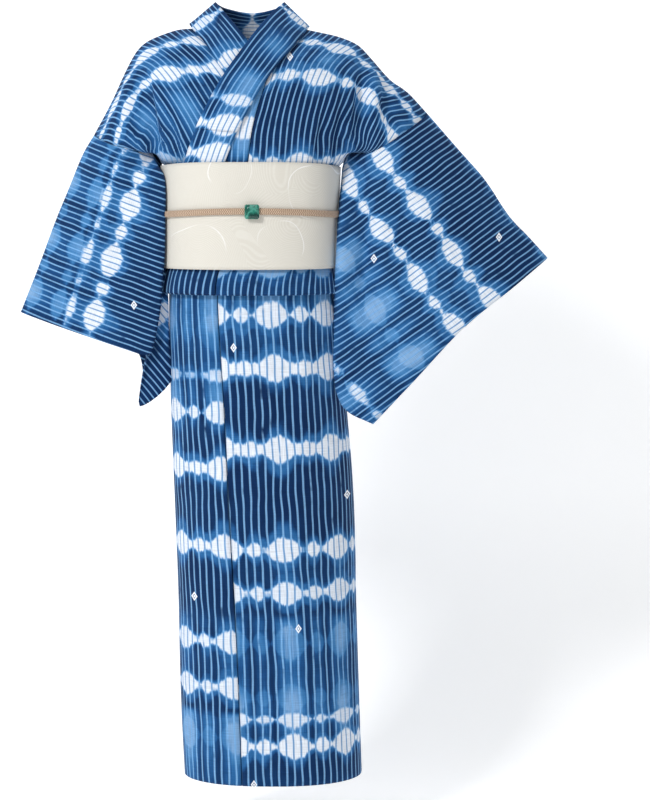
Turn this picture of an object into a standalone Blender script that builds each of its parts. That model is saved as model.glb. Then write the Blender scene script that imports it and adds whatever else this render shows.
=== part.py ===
"""Worn cotton yukata with obi, obijime cord and obidome clasp. Metres, +Z up, the front faces -Y."""

import math
from collections import namedtuple

import bpy
import numpy as np
from mathutils import Vector
from mathutils.bvhtree import BVHTree

# Cloth sizes
CLOTH = 0.0015
COLLAR_CLOTH = 0.0018
OVER_COLLAR_CLOTH = 0.0012
OBI_CLOTH = 0.0028
SEAM = 0.0006
LAYER_GAP = 0.0012
LEFT_LIFT = 0.0030
TUCK_OUT = 0.0058
ARMPIT_X = 0.1530
FOLD_SAMPLES = (4, 4, 5, 2, 3, 3, 1, 3, 5, 4, 3)
ARMPIT_UP = 0.018
SPREAD = 0.8

# Garment heights, from the shoulder line at z = 0
HEM_Z = -1.235
OBI_TOP_Z = -0.219
OBI_LOW_Z = -0.390
TUCK_TOP_Z = -0.340
OHASHORI_Z = -0.430
CORD_Z = -0.2975

# Shape of the body rings
RING_POWER = 2.3
SIDE_ANGLE = math.radians(90)
FREE_EDGE_ANGLE = math.radians(-80)
UNDER_EDGE_ANGLE = math.radians(68)

# Numbers of rows and columns in the cloth grids
BODY_COLUMNS = 11
SPAN_ROWS = 3
COLLAR_COLUMNS = 4

Ring = namedtuple("Ring", "z half_width centre_x front back")
RINGS = (
    Ring(-1.235, 0.1445, 0.034, 0.118, 0.120),
    Ring(-1.109, 0.1450, 0.029, 0.119, 0.122),
    Ring(-0.943, 0.1440, 0.025, 0.119, 0.124),
    Ring(-0.777, 0.1450, 0.020, 0.118, 0.125),
    Ring(-0.611, 0.1410, 0.011, 0.113, 0.121),
    Ring(-0.445, 0.1360, 0.003, 0.106, 0.110),
    Ring(-0.390, 0.1290, -0.002, 0.102, 0.102),
    Ring(-0.310, 0.1280, -0.002, 0.099, 0.096),
    Ring(-0.219, 0.1320, -0.002, 0.098, 0.097),
)

# The seam between the front panel and the okumi, x at each height
SeamPoint = namedtuple("SeamPoint", "z x")
LEFT_SEAM = (
    SeamPoint(-1.235, -0.014), SeamPoint(-1.000, -0.022), SeamPoint(-0.780, -0.034),
    SeamPoint(-0.600, -0.042), SeamPoint(-0.445, -0.051), SeamPoint(-0.390, -0.047),
    SeamPoint(-0.310, -0.026), SeamPoint(-0.219, -0.004),
)
RIGHT_SEAM = (
    SeamPoint(-1.235, 0.040), SeamPoint(-0.445, 0.042), SeamPoint(-0.310, 0.052),
    SeamPoint(-0.219, 0.070),
)
# The free edge of the upper front where it leaves the collar
LEFT_EDGE = (
    SeamPoint(-0.219, -0.074), SeamPoint(-0.150, -0.046), SeamPoint(-0.095, -0.012), SeamPoint(-0.060, 0.016),
)

# Upper body columns from collar to armhole: points at a third and two thirds of the way up to the shoulder
Column = namedtuple("Column", "side low_x x1 y1 z1 x2 y2 z2 top_x top_z")
RIGHT_FRONT = (
    Column(0.00, 0.070, 0.036, -0.102, -0.140, -0.024, -0.086, -0.050, -0.079, 0.000),
    Column(0.17, 0.020, -0.004, -0.106, -0.141, -0.056, -0.085, -0.050, -0.098, -0.001),
    Column(0.34, -0.035, -0.050, -0.107, -0.141, -0.090, -0.080, -0.052, -0.120, -0.003),
    Column(0.50, -0.082, -0.098, -0.103, -0.141, -0.124, -0.073, -0.056, -0.145, -0.011),
    Column(0.62, -0.112, -0.140, -0.089, -0.142, -0.156, -0.064, -0.064, -0.168, -0.021),
    Column(0.71, -0.124, -0.162, -0.062, -0.152, -0.172, -0.048, -0.078, -0.184, -0.034),
    Column(0.80, -0.131, -0.182, -0.067, -0.176, -0.193, -0.056, -0.098, -0.202, -0.064),
    Column(0.90, -0.135, -0.184, -0.062, -0.194, -0.215, -0.056, -0.144, -0.224, -0.112),
    Column(1.00, -0.138, -0.180, -0.048, -0.199, -0.230, -0.050, -0.187, -0.257, -0.173),
)
LEFT_FRONT = (
    Column(0.00, -0.004, 0.009, -0.106, -0.146, 0.038, -0.086, -0.060, 0.079, -0.001),
    Column(0.17, 0.030, 0.046, -0.107, -0.142, 0.062, -0.083, -0.056, 0.092, -0.003),
    Column(0.34, 0.062, 0.078, -0.106, -0.141, 0.090, -0.078, -0.056, 0.112, -0.007),
    Column(0.50, 0.090, 0.112, -0.098, -0.141, 0.124, -0.070, -0.062, 0.142, -0.014),
    Column(0.62, 0.112, 0.143, -0.086, -0.142, 0.157, -0.062, -0.070, 0.172, -0.026),
    Column(0.71, 0.124, 0.169, -0.074, -0.152, 0.181, -0.055, -0.084, 0.194, -0.047),
    Column(0.80, 0.131, 0.190, -0.070, -0.172, 0.204, -0.058, -0.104, 0.222, -0.080),
    Column(0.90, 0.134, 0.198, -0.062, -0.192, 0.226, -0.056, -0.136, 0.252, -0.101),
    Column(1.00, 0.136, 0.194, -0.052, -0.202, 0.246, -0.054, -0.172, 0.290, -0.141),
)
Back = namedtuple("Back", "side low_x x1 y1 z1 x2 y2 z2")
BACK = (
    Back(0.00, 0.0006, 0.0010, 0.104, -0.130, 0.006, 0.090, -0.020),
    Back(0.17, 0.028, 0.030, 0.106, -0.132, 0.042, 0.084, -0.032),
    Back(0.34, 0.058, 0.070, 0.105, -0.135, 0.088, 0.078, -0.046),
    Back(0.50, 0.088, 0.107, 0.098, -0.138, 0.122, 0.072, -0.056),
    Back(0.62, 0.110, 0.140, 0.088, -0.142, 0.156, 0.064, -0.066),
    Back(0.71, 0.123, 0.163, 0.076, -0.152, 0.176, 0.054, -0.080),
    Back(0.80, 0.131, 0.184, 0.070, -0.176, 0.196, 0.056, -0.100),
    Back(0.90, 0.134, 0.186, 0.062, -0.194, 0.216, 0.056, -0.143),
    Back(1.00, 0.136, 0.180, 0.050, -0.199, 0.231, 0.050, -0.187),
)
LEFT_BACK_SHIFT = (0.000, 0.004, 0.006, 0.008, 0.010, 0.012, 0.014, 0.014, 0.015)

# Collar stations from the left front, round the neck, to the right front: the inner and the outer edge
CollarRow = namedtuple("CollarRow", "part in_x in_y in_z out_x out_y out_z")
COLLAR = (
    CollarRow("left", -0.113, -0.074, -0.236, -0.047, -0.104, -0.240),
    CollarRow("left", -0.104, -0.080, -0.212, -0.039, -0.106, -0.216),
    CollarRow("left", -0.085, -0.100, -0.162, -0.019, -0.110, -0.168),
    CollarRow("left", -0.051, -0.104, -0.096, 0.011, -0.112, -0.112),
    CollarRow("left", -0.012, -0.086, -0.039, 0.042, -0.099, -0.066),
    CollarRow("left", 0.023, -0.053, 0.010, 0.074, -0.062, -0.026),
    CollarRow("left", 0.051, -0.004, 0.040, 0.093, -0.002, 0.001),
    CollarRow("back", 0.042, 0.044, 0.034, 0.074, 0.060, -0.006),
    CollarRow("back", 0.000, 0.070, 0.027, 0.000, 0.092, -0.016),
    CollarRow("back", -0.044, 0.044, 0.034, -0.076, 0.060, -0.004),
    CollarRow("right", -0.055, -0.004, 0.040, -0.099, -0.002, 0.004),
    CollarRow("right", -0.028, -0.050, 0.008, -0.075, -0.058, -0.026),
    CollarRow("right", 0.002, -0.078, -0.031, -0.049, -0.092, -0.063),
    CollarRow("right", 0.040, -0.096, -0.084, -0.015, -0.105, -0.112),
    CollarRow("right", 0.077, -0.100, -0.149, 0.019, -0.107, -0.172),
    CollarRow("right", 0.094, -0.084, -0.210, 0.037, -0.100, -0.218),
    CollarRow("right", 0.100, -0.078, -0.232, 0.043, -0.099, -0.240),
)
OVER_COLLAR_ENDS = (1.95, 14.0)

# Left sleeve sections across the arm: top fold, point on the sheet, low edge, and half depths
Section = namedtuple("Section", "top_x top_z mid_x mid_z low_x low_z low_y near middle low")
LEFT_SLEEVE = (
    Section(0.290, -0.141, 0.2230, -0.186, 0.163, -0.228, 0.000, 0.046, 0.055, 0.036),
    Section(0.340, -0.198, 0.246, -0.274, 0.158, -0.345, -0.024, 0.040, 0.048, 0.022),
    Section(0.384, -0.248, 0.268, -0.362, 0.154, -0.466, -0.042, 0.036, 0.042, 0.016),
    Section(0.423, -0.306, 0.292, -0.436, 0.153, -0.556, -0.062, 0.032, 0.036, 0.012),
    Section(0.456, -0.341, 0.318, -0.486, 0.166, -0.618, -0.074, 0.030, 0.032, 0.010),
    Section(0.488, -0.376, 0.347, -0.487, 0.203, -0.640, -0.072, 0.027, 0.026, 0.008),
)
# Right sleeve sections: top fold, folded front edge, then the hanging corner behind it
Fold = namedtuple("Fold", "top_x top_z edge_x edge_z edge_y hang_x hang_z low_x low_z near middle back")
RIGHT_SLEEVE = (
    Fold(-0.257, -0.173, -0.160, -0.212, -0.036, -0.153, -0.215, -0.150, -0.217, 0.046, 0.055, 0.046),
    Fold(-0.277, -0.207, -0.155, -0.250, -0.056, -0.156, -0.262, -0.154, -0.272, 0.044, 0.060, 0.034),
    Fold(-0.300, -0.262, -0.156, -0.315, -0.056, -0.161, -0.345, -0.153, -0.352, 0.042, 0.058, 0.028),
    Fold(-0.322, -0.314, -0.158, -0.374, -0.056, -0.165, -0.428, -0.150, -0.430, 0.040, 0.056, 0.024),
    Fold(-0.350, -0.388, -0.167, -0.452, -0.056, -0.174, -0.520, -0.149, -0.505, 0.036, 0.052, 0.020),
    Fold(-0.381, -0.465, -0.178, -0.532, -0.056, -0.184, -0.618, -0.143, -0.574, 0.030, 0.048, 0.014),
)

# Soft creases pressed into the cloth: ends in front view, depth, half width, and the face they are on
Crease = namedtuple("Crease", "x0 z0 x1 z1 depth width face")
CREASES = (
    Crease(0.180, -0.050, 0.177, -0.175, 0.0090, 0.0090, -1),
    Crease(0.216, -0.105, 0.232, -0.165, 0.0040, 0.0100, -1),
    Crease(0.186, -0.300, 0.190, -0.500, 0.0070, 0.0140, -1),
    Crease(0.240, -0.290, 0.275, -0.430, 0.0050, 0.0160, -1),
    Crease(-0.200, -0.260, -0.230, -0.440, 0.0050, 0.0140, -1),
    Crease(-0.178, -0.100, -0.206, -0.170, 0.0040, 0.0100, -1),
    Crease(-0.215, -0.250, -0.262, -0.360, 0.0040, 0.0120, 1),
    Crease(0.225, -0.260, 0.240, -0.470, 0.0060, 0.0150, 1),
    Crease(0.050, -0.460, 0.062, -0.760, 0.0030, 0.0180, -1),
    Crease(-0.030, -0.700, -0.040, -1.150, 0.0025, 0.0200, -1),
    Crease(0.110, -0.560, 0.120, -1.050, 0.0035, 0.0180, -1),
    Crease(-0.092, -0.480, -0.080, -0.900, 0.0030, 0.0180, -1),
    Crease(0.060, -0.480, 0.070, -1.000, 0.0045, 0.0220, 1),
    Crease(-0.050, -0.480, -0.046, -0.950, 0.0045, 0.0220, 1),
)
# Gathers of the tucked cloth under the obi
GATHER_COUNT = 9
GATHER_DEPTH = 0.0016

# Obi, cord and clasp
OBI_SIDE_DIP = 0.007
OBI_TAIL_WIDTH = 0.165
OBI_TAIL_TOP_Z = -0.190
OBI_TAIL_LOW_Z = -0.450
OBI_TAIL_DEPTH = 0.011
CORD_WIDTH = 0.0105
CORD_DEPTH = 0.0050
SLEEVE_GAP = 0.0009
UNDERARM_GAP = 0.0026
UNDERARM_SIDE = 0.0040
CLASP_X = 0.004
CLASP_SIZE = 0.0235
CLASP_DEPTH = 0.0080


def smooth_step(value):
    """Ease from 0 to 1."""
    t = np.clip(value, 0.0, 1.0)
    return t * t * (3.0 - 2.0 * t)


def spline(rows, places, closed=False):
    """Smooth curve through the rows, read at places counted in rows."""
    rows = np.asarray(rows, dtype=float)
    places = np.asarray(places, dtype=float)
    count = len(rows)
    if closed:
        first = np.floor(places).astype(int)
        index = [(first + k) % count for k in (-1, 0, 1, 2)]
        p0, p1, p2, p3 = (rows[k] for k in index)
    else:
        first = np.clip(np.floor(places).astype(int), 0, count - 2)
        padded = np.vstack([2 * rows[:1] - rows[1:2], rows, 2 * rows[-1:] - rows[-2:-1]])
        p0, p1, p2, p3 = (padded[first + k] for k in (0, 1, 2, 3))
    t = (places - first)[:, None]
    return 0.5 * (2 * p1 + (p2 - p0) * t + (2 * p0 - 5 * p1 + 4 * p2 - p3) * t * t
                  + (3 * p1 - p0 - 3 * p2 + p3) * t ** 3)


def table_at(table, key, names, value):
    """Columns of a table read at a value of its key column, in straight steps eased by its own spacing."""
    keys = np.array([getattr(row, key) for row in table])
    order = np.argsort(keys)
    columns = np.array([[getattr(row, name) for name in names] for row in table])[order]
    place = np.interp(value, keys[order], np.arange(len(keys)))
    return spline(columns, np.atleast_1d(place))


def ring_point(angle, z, out=0.0):
    """Point on the body ring: angle 0 is the front middle, a quarter turn is the +X side."""
    width, centre, front, back = table_at(RINGS, "z", ("half_width", "centre_x", "front", "back"), z)[0]
    sine, cosine = math.sin(angle), math.cos(angle)
    power = 2.0 / RING_POWER
    depth = front if cosine > 0 else back
    x = width * math.copysign(abs(sine) ** power, sine)
    y = -depth * math.copysign(abs(cosine) ** power, cosine)
    grow = 2.0 * RING_POWER / 2.0 - 1.0
    normal = np.array([math.copysign(abs(x / width) ** grow / width, x), math.copysign(abs(y / depth) ** grow / depth, y)])
    normal /= np.linalg.norm(normal)
    return np.array([centre + x + normal[0] * out, y + normal[1] * out, z])


def angle_at(x, z):
    """Ring angle on the front at a given x."""
    width, centre = table_at(RINGS, "z", ("half_width", "centre_x"), z)[0]
    share = min(1.0, abs(x - centre) / width)
    return math.copysign(math.asin(share ** (RING_POWER / 2.0)), x - centre)


def seam_angle(seam, z):
    """Ring angle of a seam at a height."""
    x = float(table_at(seam, "z", ("x",), z)[0][0])
    return angle_at(x, z)


def lift_over(angle):
    """Outward step of the left front, which lies over the right one."""
    return LEFT_LIFT * float(smooth_step((math.radians(140) - abs(angle)) / math.radians(55)))


def tuck_path(folded):
    """Rows from hem to chest as (z, out, puff): the waist tuck goes up, down and up again."""
    skirt = [HEM_Z, -1.150, -1.045, -0.940, -0.835, -0.730, -0.630, -0.540, -0.470, -0.425, -0.389]
    rows = [(z, 0.0, 0.0) for z in skirt]
    if folded:
        low = OHASHORI_Z
        rows += [(TUCK_TOP_Z - 0.005, 0.0, 0.0), (TUCK_TOP_Z - 0.0012, 0.0006, 0.0), (TUCK_TOP_Z, 0.0022, 0.0),
                 (TUCK_TOP_Z - 0.0012, 0.0038, 0.0), (TUCK_TOP_Z - 0.005, 0.0044, 0.0),
                 (-0.389, 0.0044, 0.10), (-0.406, 0.0044, 0.75), (low + 0.004, 0.0044, 1.0),
                 (low, 0.0051, 1.0), (low + 0.004, TUCK_OUT, 1.0), (-0.406, TUCK_OUT, 0.75),
                 (-0.389, TUCK_OUT, 0.10), (-0.350, TUCK_OUT, 0.0)]
    rows += [(z, TUCK_OUT if folded else 0.0, 0.0) for z in (-0.312, -0.262, -0.2255)]
    return rows


def puff_out(angle, share):
    """Roll of the tucked cloth below the obi, with small gathers."""
    gather = GATHER_DEPTH * math.sin(GATHER_COUNT * angle * 2.0 + 0.7 * math.sin(3.0 * angle))
    return share * (0.0078 + gather)


def front_angle(side, across, z):
    """Ring angle of a front column."""
    seam = LEFT_SEAM if side > 0 else RIGHT_SEAM
    start = seam_angle(seam, max(z, HEM_Z)) + side * SEAM / 0.11
    end = side * (SIDE_ANGLE - SEAM / 0.24)
    return start + (end - start) * across


def back_angle(side, across):
    """Ring angle of a back column, from the centre seam to the side seam."""
    start = side * (math.pi - SEAM / 0.2)
    end = side * (SIDE_ANGLE + SEAM / 0.24)
    return start + (end - start) * across


def column_rows(side, across):
    """One column of a body panel, from the front hem over the shoulder to the back hem."""
    front_table = LEFT_FRONT if side > 0 else RIGHT_FRONT
    names = ("x1", "y1", "z1", "x2", "y2", "z2", "top_x", "top_z")
    x1, y1, z1, x2, y2, z2, top_x, top_z = table_at(front_table, "side", names, across)[0]
    bx1, by1, bz1, bx2, by2, bz2 = table_at(BACK, "side", ("x1", "y1", "z1", "x2", "y2", "z2"), across)[0]
    shift = float(np.interp(across, [row.side for row in BACK], LEFT_BACK_SHIFT)) if side > 0 else 0.0
    points = []
    for z, out, puff in tuck_path(side > 0):
        angle = front_angle(side, across, z)
        lift = lift_over(angle) if side > 0 else 0.0
        points.append(ring_point(angle, z, out + lift + puff_out(angle, puff)))
    low_angle = front_angle(side, across, OBI_TOP_Z)
    low_out = TUCK_OUT + lift_over(low_angle) if side > 0 else 0.0
    step = low_out * (1.0 - 0.6 * across)
    low = ring_point(low_angle, OBI_TOP_Z, low_out)
    back_lift = lift_over(back_angle(side, across)) if side > 0 else 0.0
    back_low = ring_point(back_angle(side, across), OBI_TOP_Z, TUCK_OUT + back_lift)
    spread = float(smooth_step((across - 0.55) / 0.45))
    for end in (low, back_low):
        end[0] += (side * ARMPIT_X - end[0]) * spread
        end[2] += ARMPIT_UP * spread
    before = points[-1]
    after = ring_point(back_angle(side, across), -0.2255, TUCK_OUT + back_lift)
    chest = [before, low, (x1, y1 - step, z1), (x2, y2 - 0.5 * step, z2), (top_x, 0.0, top_z),
             (side * (bx2 + shift), by2, bz2), (side * (bx1 + shift), by1, bz1), back_low, after]
    places = 1.0 + np.arange(6 * SPAN_ROWS + 1) / SPAN_ROWS
    rise = spline(chest, places)
    middle = 3 * SPAN_ROWS
    rise[middle:, 0] = side * np.maximum(side * rise[middle:, 0], SEAM / 2)
    height = np.sin(np.linspace(0.0, math.pi, len(rise)))[:, None]
    rise -= np.array([0.0, 0.0, 0.0035]) * height * max(0.0, 1.0 - across / 0.14)
    points += list(rise)
    for z, out, puff in reversed(tuck_path(True)):
        angle = back_angle(side, across)
        lift = lift_over(angle) if side > 0 else 0.0
        points.append(ring_point(angle, z, out + lift + puff_out(angle, puff)))
    return np.array(points)


def grid_normals(grid, loop_rows=False):
    """Outward unit directions of a grid of points."""
    if loop_rows:
        along = np.roll(grid, -1, axis=1) - np.roll(grid, 1, axis=1)
    else:
        along = np.gradient(grid, axis=1)
    across = np.gradient(grid, axis=0)
    normal = np.cross(across, along)
    length = np.linalg.norm(normal, axis=2, keepdims=True)
    return normal / np.maximum(length, 1e-9)


def press_creases(grid, normals, scale=1.0):
    """Push the cloth in along each crease."""
    moved = grid.copy()
    for crease in CREASES:
        start = np.array([crease.x0, crease.z0])
        run = np.array([crease.x1, crease.z1]) - start
        flat = grid[:, :, [0, 2]] - start
        share = np.clip(flat @ run / (run @ run), 0.0, 1.0)
        apart = np.linalg.norm(flat - share[:, :, None] * run, axis=2)
        taper = 0.35 + 0.65 * np.sin(math.pi * share)
        amount = crease.depth * scale * taper * np.exp(-(apart / crease.width) ** 2)
        amount = amount * (grid[:, :, 1] * crease.face > 0.012)
        moved -= normals * amount[:, :, None]
    return moved


def shell(grid, thickness, loop_rows=False, flip=False, inset=None):
    """Closed wall on a grid: points, faces. The grid is its inner face."""
    normals = grid_normals(grid, loop_rows)
    if flip:
        normals = -normals
    outer = grid + normals * thickness
    columns, rows = grid.shape[:2]
    count = columns * rows
    points = np.vstack([grid.reshape(-1, 3), outer.reshape(-1, 3)])
    faces = []
    last_row = rows if loop_rows else rows - 1
    for i in range(columns - 1):
        for j in range(last_row):
            k = (j + 1) % rows
            quad = (i * rows + j, (i + 1) * rows + j, (i + 1) * rows + k, i * rows + k)
            faces.append(tuple(count + v for v in quad))
            faces.append(tuple(reversed(quad)))
    rim = []
    for j in range(last_row):
        k = (j + 1) % rows
        rim.append((k, j))
        rim.append(((columns - 1) * rows + j, (columns - 1) * rows + k))
    if not loop_rows:
        for i in range(columns - 1):
            rim.append((i * rows, (i + 1) * rows))
            rim.append(((i + 1) * rows + rows - 1, i * rows + rows - 1))
    for a, b in rim:
        faces.append((a, b, count + b, count + a))
    return points, faces


def signed_volume(points, faces):
    """Volume of a closed mesh, negative when it faces in."""
    total = 0.0
    for face in faces:
        first = points[face[0]]
        for b, c in zip(face[1:-1], face[2:]):
            total += float(np.dot(first, np.cross(points[b], points[c])))
    return total / 6.0


def add_part(name, points, faces, colour, roughness, metallic=0.0):
    """Make one named object with its own material."""
    if signed_volume(points, faces) < 0:
        faces = [tuple(reversed(face)) for face in faces]
    mesh = bpy.data.meshes.new(name)
    mesh.from_pydata([tuple(float(v) for v in point) for point in points], [], faces)
    mesh.update()
    material = bpy.data.materials.new(name + "_material")
    material.use_nodes = True
    shader = material.node_tree.nodes["Principled BSDF"]
    shader.inputs["Base Color"].default_value = (*colour, 1.0)
    shader.inputs["Roughness"].default_value = roughness
    shader.inputs["Metallic"].default_value = metallic
    mesh.materials.append(material)
    made = bpy.data.objects.new(name, mesh)
    bpy.context.scene.collection.objects.link(made)
    return made


def outer_sheet(grid, thickness, flip=False):
    """Search tree of the outer face of a wall."""
    normals = grid_normals(grid)
    if flip:
        normals = -normals
    outer = grid + normals * thickness
    columns, rows = grid.shape[:2]
    faces = []
    for i in range(columns - 1):
        for j in range(rows - 1):
            quad = (i * rows + j, (i + 1) * rows + j, (i + 1) * rows + j + 1, i * rows + j + 1)
            faces.append(tuple(reversed(quad)) if flip else quad)
    return BVHTree.FromPolygons([Vector(point) for point in outer.reshape(-1, 3)], faces)


def push_out(grid, trees, gap, rows=None):
    """Move points off the surfaces under them until they clear them by the gap."""
    moved = grid.copy()
    for i in range(grid.shape[0]):
        for j in range(grid.shape[1]):
            if rows is not None and not rows[0] <= j < rows[1]:
                continue
            for tree in trees:
                place = Vector(moved[i, j])
                near, normal = tree.find_nearest(place, 0.03)[:2]
                if near is None:
                    continue
                away = place - near
                height = away.dot(normal)
                if height < gap and (away - normal * height).length < 0.0012:
                    moved[i, j] = near + normal * gap
    shift = moved - grid
    for _ in range(2):
        size = np.linalg.norm(shift, axis=2)
        best, best_size = shift.copy(), size.copy()
        for di, dj in ((1, 0), (-1, 0), (0, 1), (0, -1)):
            near_shift = np.roll(shift, (di, dj), axis=(0, 1)) * SPREAD
            near_size = np.roll(size, (di, dj), axis=(0, 1)) * SPREAD
            edge = np.zeros(size.shape, dtype=bool)
            if di:
                edge[0 if di > 0 else -1, :] = True
            if dj:
                edge[:, 0 if dj > 0 else -1] = True
            better = (near_size > best_size) & ~edge
            best[better] = near_shift[better]
            best_size[better] = near_size[better]
        shift = best
    return grid + shift


def body_grid(side):
    """Grid of one body panel, columns from the seam to the side."""
    shares = np.linspace(0.0, 1.0, BODY_COLUMNS + 1)
    return np.array([column_rows(side, share) for share in shares])


def right_okumi_grid():
    """Under-lap panel of the right front, hidden under the left one."""
    columns = []
    heights = [z for z, out, puff in tuck_path(False) if z < -0.32]
    for share in np.linspace(0.0, 1.0, 7):
        points = []
        for z in heights:
            start = seam_angle(RIGHT_SEAM, z) + SEAM / 0.11
            points.append(ring_point(start + (UNDER_EDGE_ANGLE - start) * share, z))
        columns.append(points)
    return np.array(columns)


def left_okumi_grid(left_body):
    """Over-lap panel of the left front, from its free edge to the seam."""
    path = tuck_path(True)
    tip_row = len(path) + 2 * SPAN_ROWS
    columns = []
    for share in np.linspace(0.0, 1.0, 9):
        points = []
        for z, out, puff in path:
            seam = seam_angle(LEFT_SEAM, z) - SEAM / 0.11
            edge = FREE_EDGE_ANGLE
            if out >= TUCK_OUT and z > -0.345:
                collar_x = float(table_at(LEFT_EDGE, "z", ("x",), OBI_TOP_Z)[0][0])
                share_up = (z + 0.350) / (OBI_TOP_Z + 0.350)
                edge = FREE_EDGE_ANGLE + (angle_at(collar_x, OBI_TOP_Z) - FREE_EDGE_ANGLE) * share_up
            angle = edge + (seam - edge) * share
            points.append(ring_point(angle, z, out + LEFT_LIFT + puff_out(angle, puff)))
        for j in range(len(path), tip_row):
            seam_point = left_body[0, j] + np.array([-0.0011, 0.0, 0.0])
            edge_x = min(float(table_at(LEFT_EDGE, "z", ("x",), seam_point[2])[0][0]), seam_point[0] - 0.006)
            x = seam_point[0] + (edge_x - seam_point[0]) * (1.0 - share)
            bend = ring_point(angle_at(x, OBI_TOP_Z), OBI_TOP_Z) - ring_point(angle_at(seam_point[0], OBI_TOP_Z), OBI_TOP_Z)
            points.append(np.array([x, seam_point[1] + bend[1], seam_point[2]]))
        columns.append(points)
    return np.array(columns)


def collar_grid(first, last, steps):
    """Ribbon of the collar between two stations."""
    names = ("in_x", "in_y", "in_z", "out_x", "out_y", "out_z")
    rows = [[getattr(row, name) for name in names] for row in COLLAR]
    edges = spline(rows, np.linspace(first, last, steps))
    inner, outer = edges[:, :3], edges[:, 3:]
    shares = np.linspace(0.0, 1.0, COLLAR_COLUMNS + 1)
    grid = inner[:, None, :] + (outer - inner)[:, None, :] * shares[None, :, None]
    bow = np.sin(math.pi * shares) * 0.003
    grid[:, :, 1] -= np.sign(-grid[:, :, 1]) * bow[None, :]
    return grid


def soften(grid, rounds=2):
    """Even out a ribbon along its length, in depth and height, without sinking it on the front."""
    for _ in range(rounds):
        near = grid.copy()
        near[1:-1] = (grid[:-2] + 2 * grid[1:-1] + grid[2:]) / 4
        grid[:, :, 1] = np.where(grid[:, :, 1] < -0.04, np.minimum(grid[:, :, 1], near[:, :, 1]), near[:, :, 1])
    return grid


def armhole_loop(column, axis):
    """Loop along the armhole edge of a body panel, from its top by the front, with midpoints."""
    count = len(column)
    top = (count - 1) / 2
    places = list(np.arange(top, -0.1, -0.5)) + list(np.arange(count - 1, top + 0.1, -0.5))
    loop = np.stack([np.interp(places, np.arange(count), column[:, k]) for k in range(3)], axis=1)
    share = np.arange(len(loop)) / len(loop)
    under = smooth_step((0.42 - np.abs(share - 0.5)) / 0.22)[:, None]
    low = smooth_step((0.20 - np.abs(share - 0.5)) / 0.16)[:, None]
    aside = np.array([math.copysign(UNDERARM_SIDE, axis[0]), 0.0, 0.0])
    return loop + axis * (SLEEVE_GAP + UNDERARM_GAP * under) + aside * low


def left_sleeve_grid(armhole, stations=14):
    """Tube of the left sleeve: each section is round over the arm and flat below it."""
    controls = []
    for row in LEFT_SLEEVE:
        top = np.array([row.top_x, 0.0, row.top_z])
        mid = np.array([row.mid_x, 0.55 * row.low_y, row.mid_z])
        low = np.array([row.low_x, row.low_y, row.low_z])
        near = top + (mid - top) * 0.40
        far = mid + (low - mid) * 0.55
        loop = []
        for base, depth in ((near, row.near), (mid, row.middle), (far, 0.5 * (row.middle + row.low)), (low, row.low * 0.55)):
            loop.append(base + np.array([0.0, -depth, 0.0]))
        tip = low + (low - far) * 0.04
        back = [point + np.array([0.0, 2.0 * (base[1] - point[1]), 0.0])
                for point, base in zip(loop, (near, mid, far, low))]
        controls.append([top] + loop + [tip] + list(reversed(back)))
    first = armhole_loop(armhole, np.array([0.643, 0.0, -0.766]))
    controls[0] = loop_shares(first, (0.0, 0.11, 0.23, 0.36, 0.46, 0.50, 0.54, 0.64, 0.77, 0.89))
    return tube_from(np.array(controls), stations, first)


def right_sleeve_grid(armhole, stations=14):
    """Tube of the right sleeve with its lower corner folded behind the front sheet."""
    controls = []
    for index, row in enumerate(RIGHT_SLEEVE):
        top = np.array([row.top_x, 0.0, row.top_z])
        edge = np.array([row.edge_x, row.edge_y, row.edge_z])
        hang = np.array([row.hang_x, row.edge_y, row.hang_z])
        low = np.array([row.low_x, row.edge_y, row.low_z])
        step = 0.010 * min(1.0, index / 1.0)
        near = top + (edge - top) * 0.24
        mid = top + (edge - top) * 0.62
        near[1] = -row.near
        mid[1] = -row.middle
        fold = edge + np.array([0.003, 0.7 * step, -0.004])
        hang[1] += 1.8 * step
        low[1] += 1.8 * step + 0.003
        low_back = low + np.array([-0.003, 0.6 * step + 0.006, 0.004])
        behind = hang + np.array([0.002 * index - 0.008, 0.026, 0.012])
        back_mid = top + (edge - top) * (0.66 + 0.26 * step / 0.010)
        back_near = top + (edge - top) * 0.26
        back_mid[1] = row.back * 0.72 - 0.8 * step
        back_near[1] = row.back
        controls.append([top, near, mid, edge, fold, hang, low, low_back, behind, back_mid, back_near])
    first = armhole_loop(armhole, np.array([-0.39, 0.0, -0.92]))
    controls[0] = loop_shares(first, (0.0, 0.12, 0.26, 0.40, 0.435, 0.465, 0.495, 0.515, 0.56, 0.74, 0.87))
    controls = np.array(controls)
    along = np.linspace(0.0, len(controls) - 1.0, stations)
    loops = np.stack([spline(controls[:, k], along) for k in range(controls.shape[1])], axis=1)
    places = np.concatenate([k + np.arange(count) / count for k, count in enumerate(FOLD_SAMPLES)])
    return np.array([spline(loop, places, closed=True) for loop in loops])


def loop_length(loop):
    """Closed copy of a loop and its running length."""
    closed = np.vstack([loop, loop[:1]])
    return closed, np.concatenate([[0.0], np.cumsum(np.linalg.norm(np.diff(closed, axis=0), axis=1))])


def loop_shares(loop, shares):
    """Points of a loop at shares of its length."""
    closed, length = loop_length(loop)
    want = np.asarray(shares) * length[-1]
    return np.stack([np.interp(want, length, closed[:, k]) for k in range(3)], axis=1)


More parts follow.
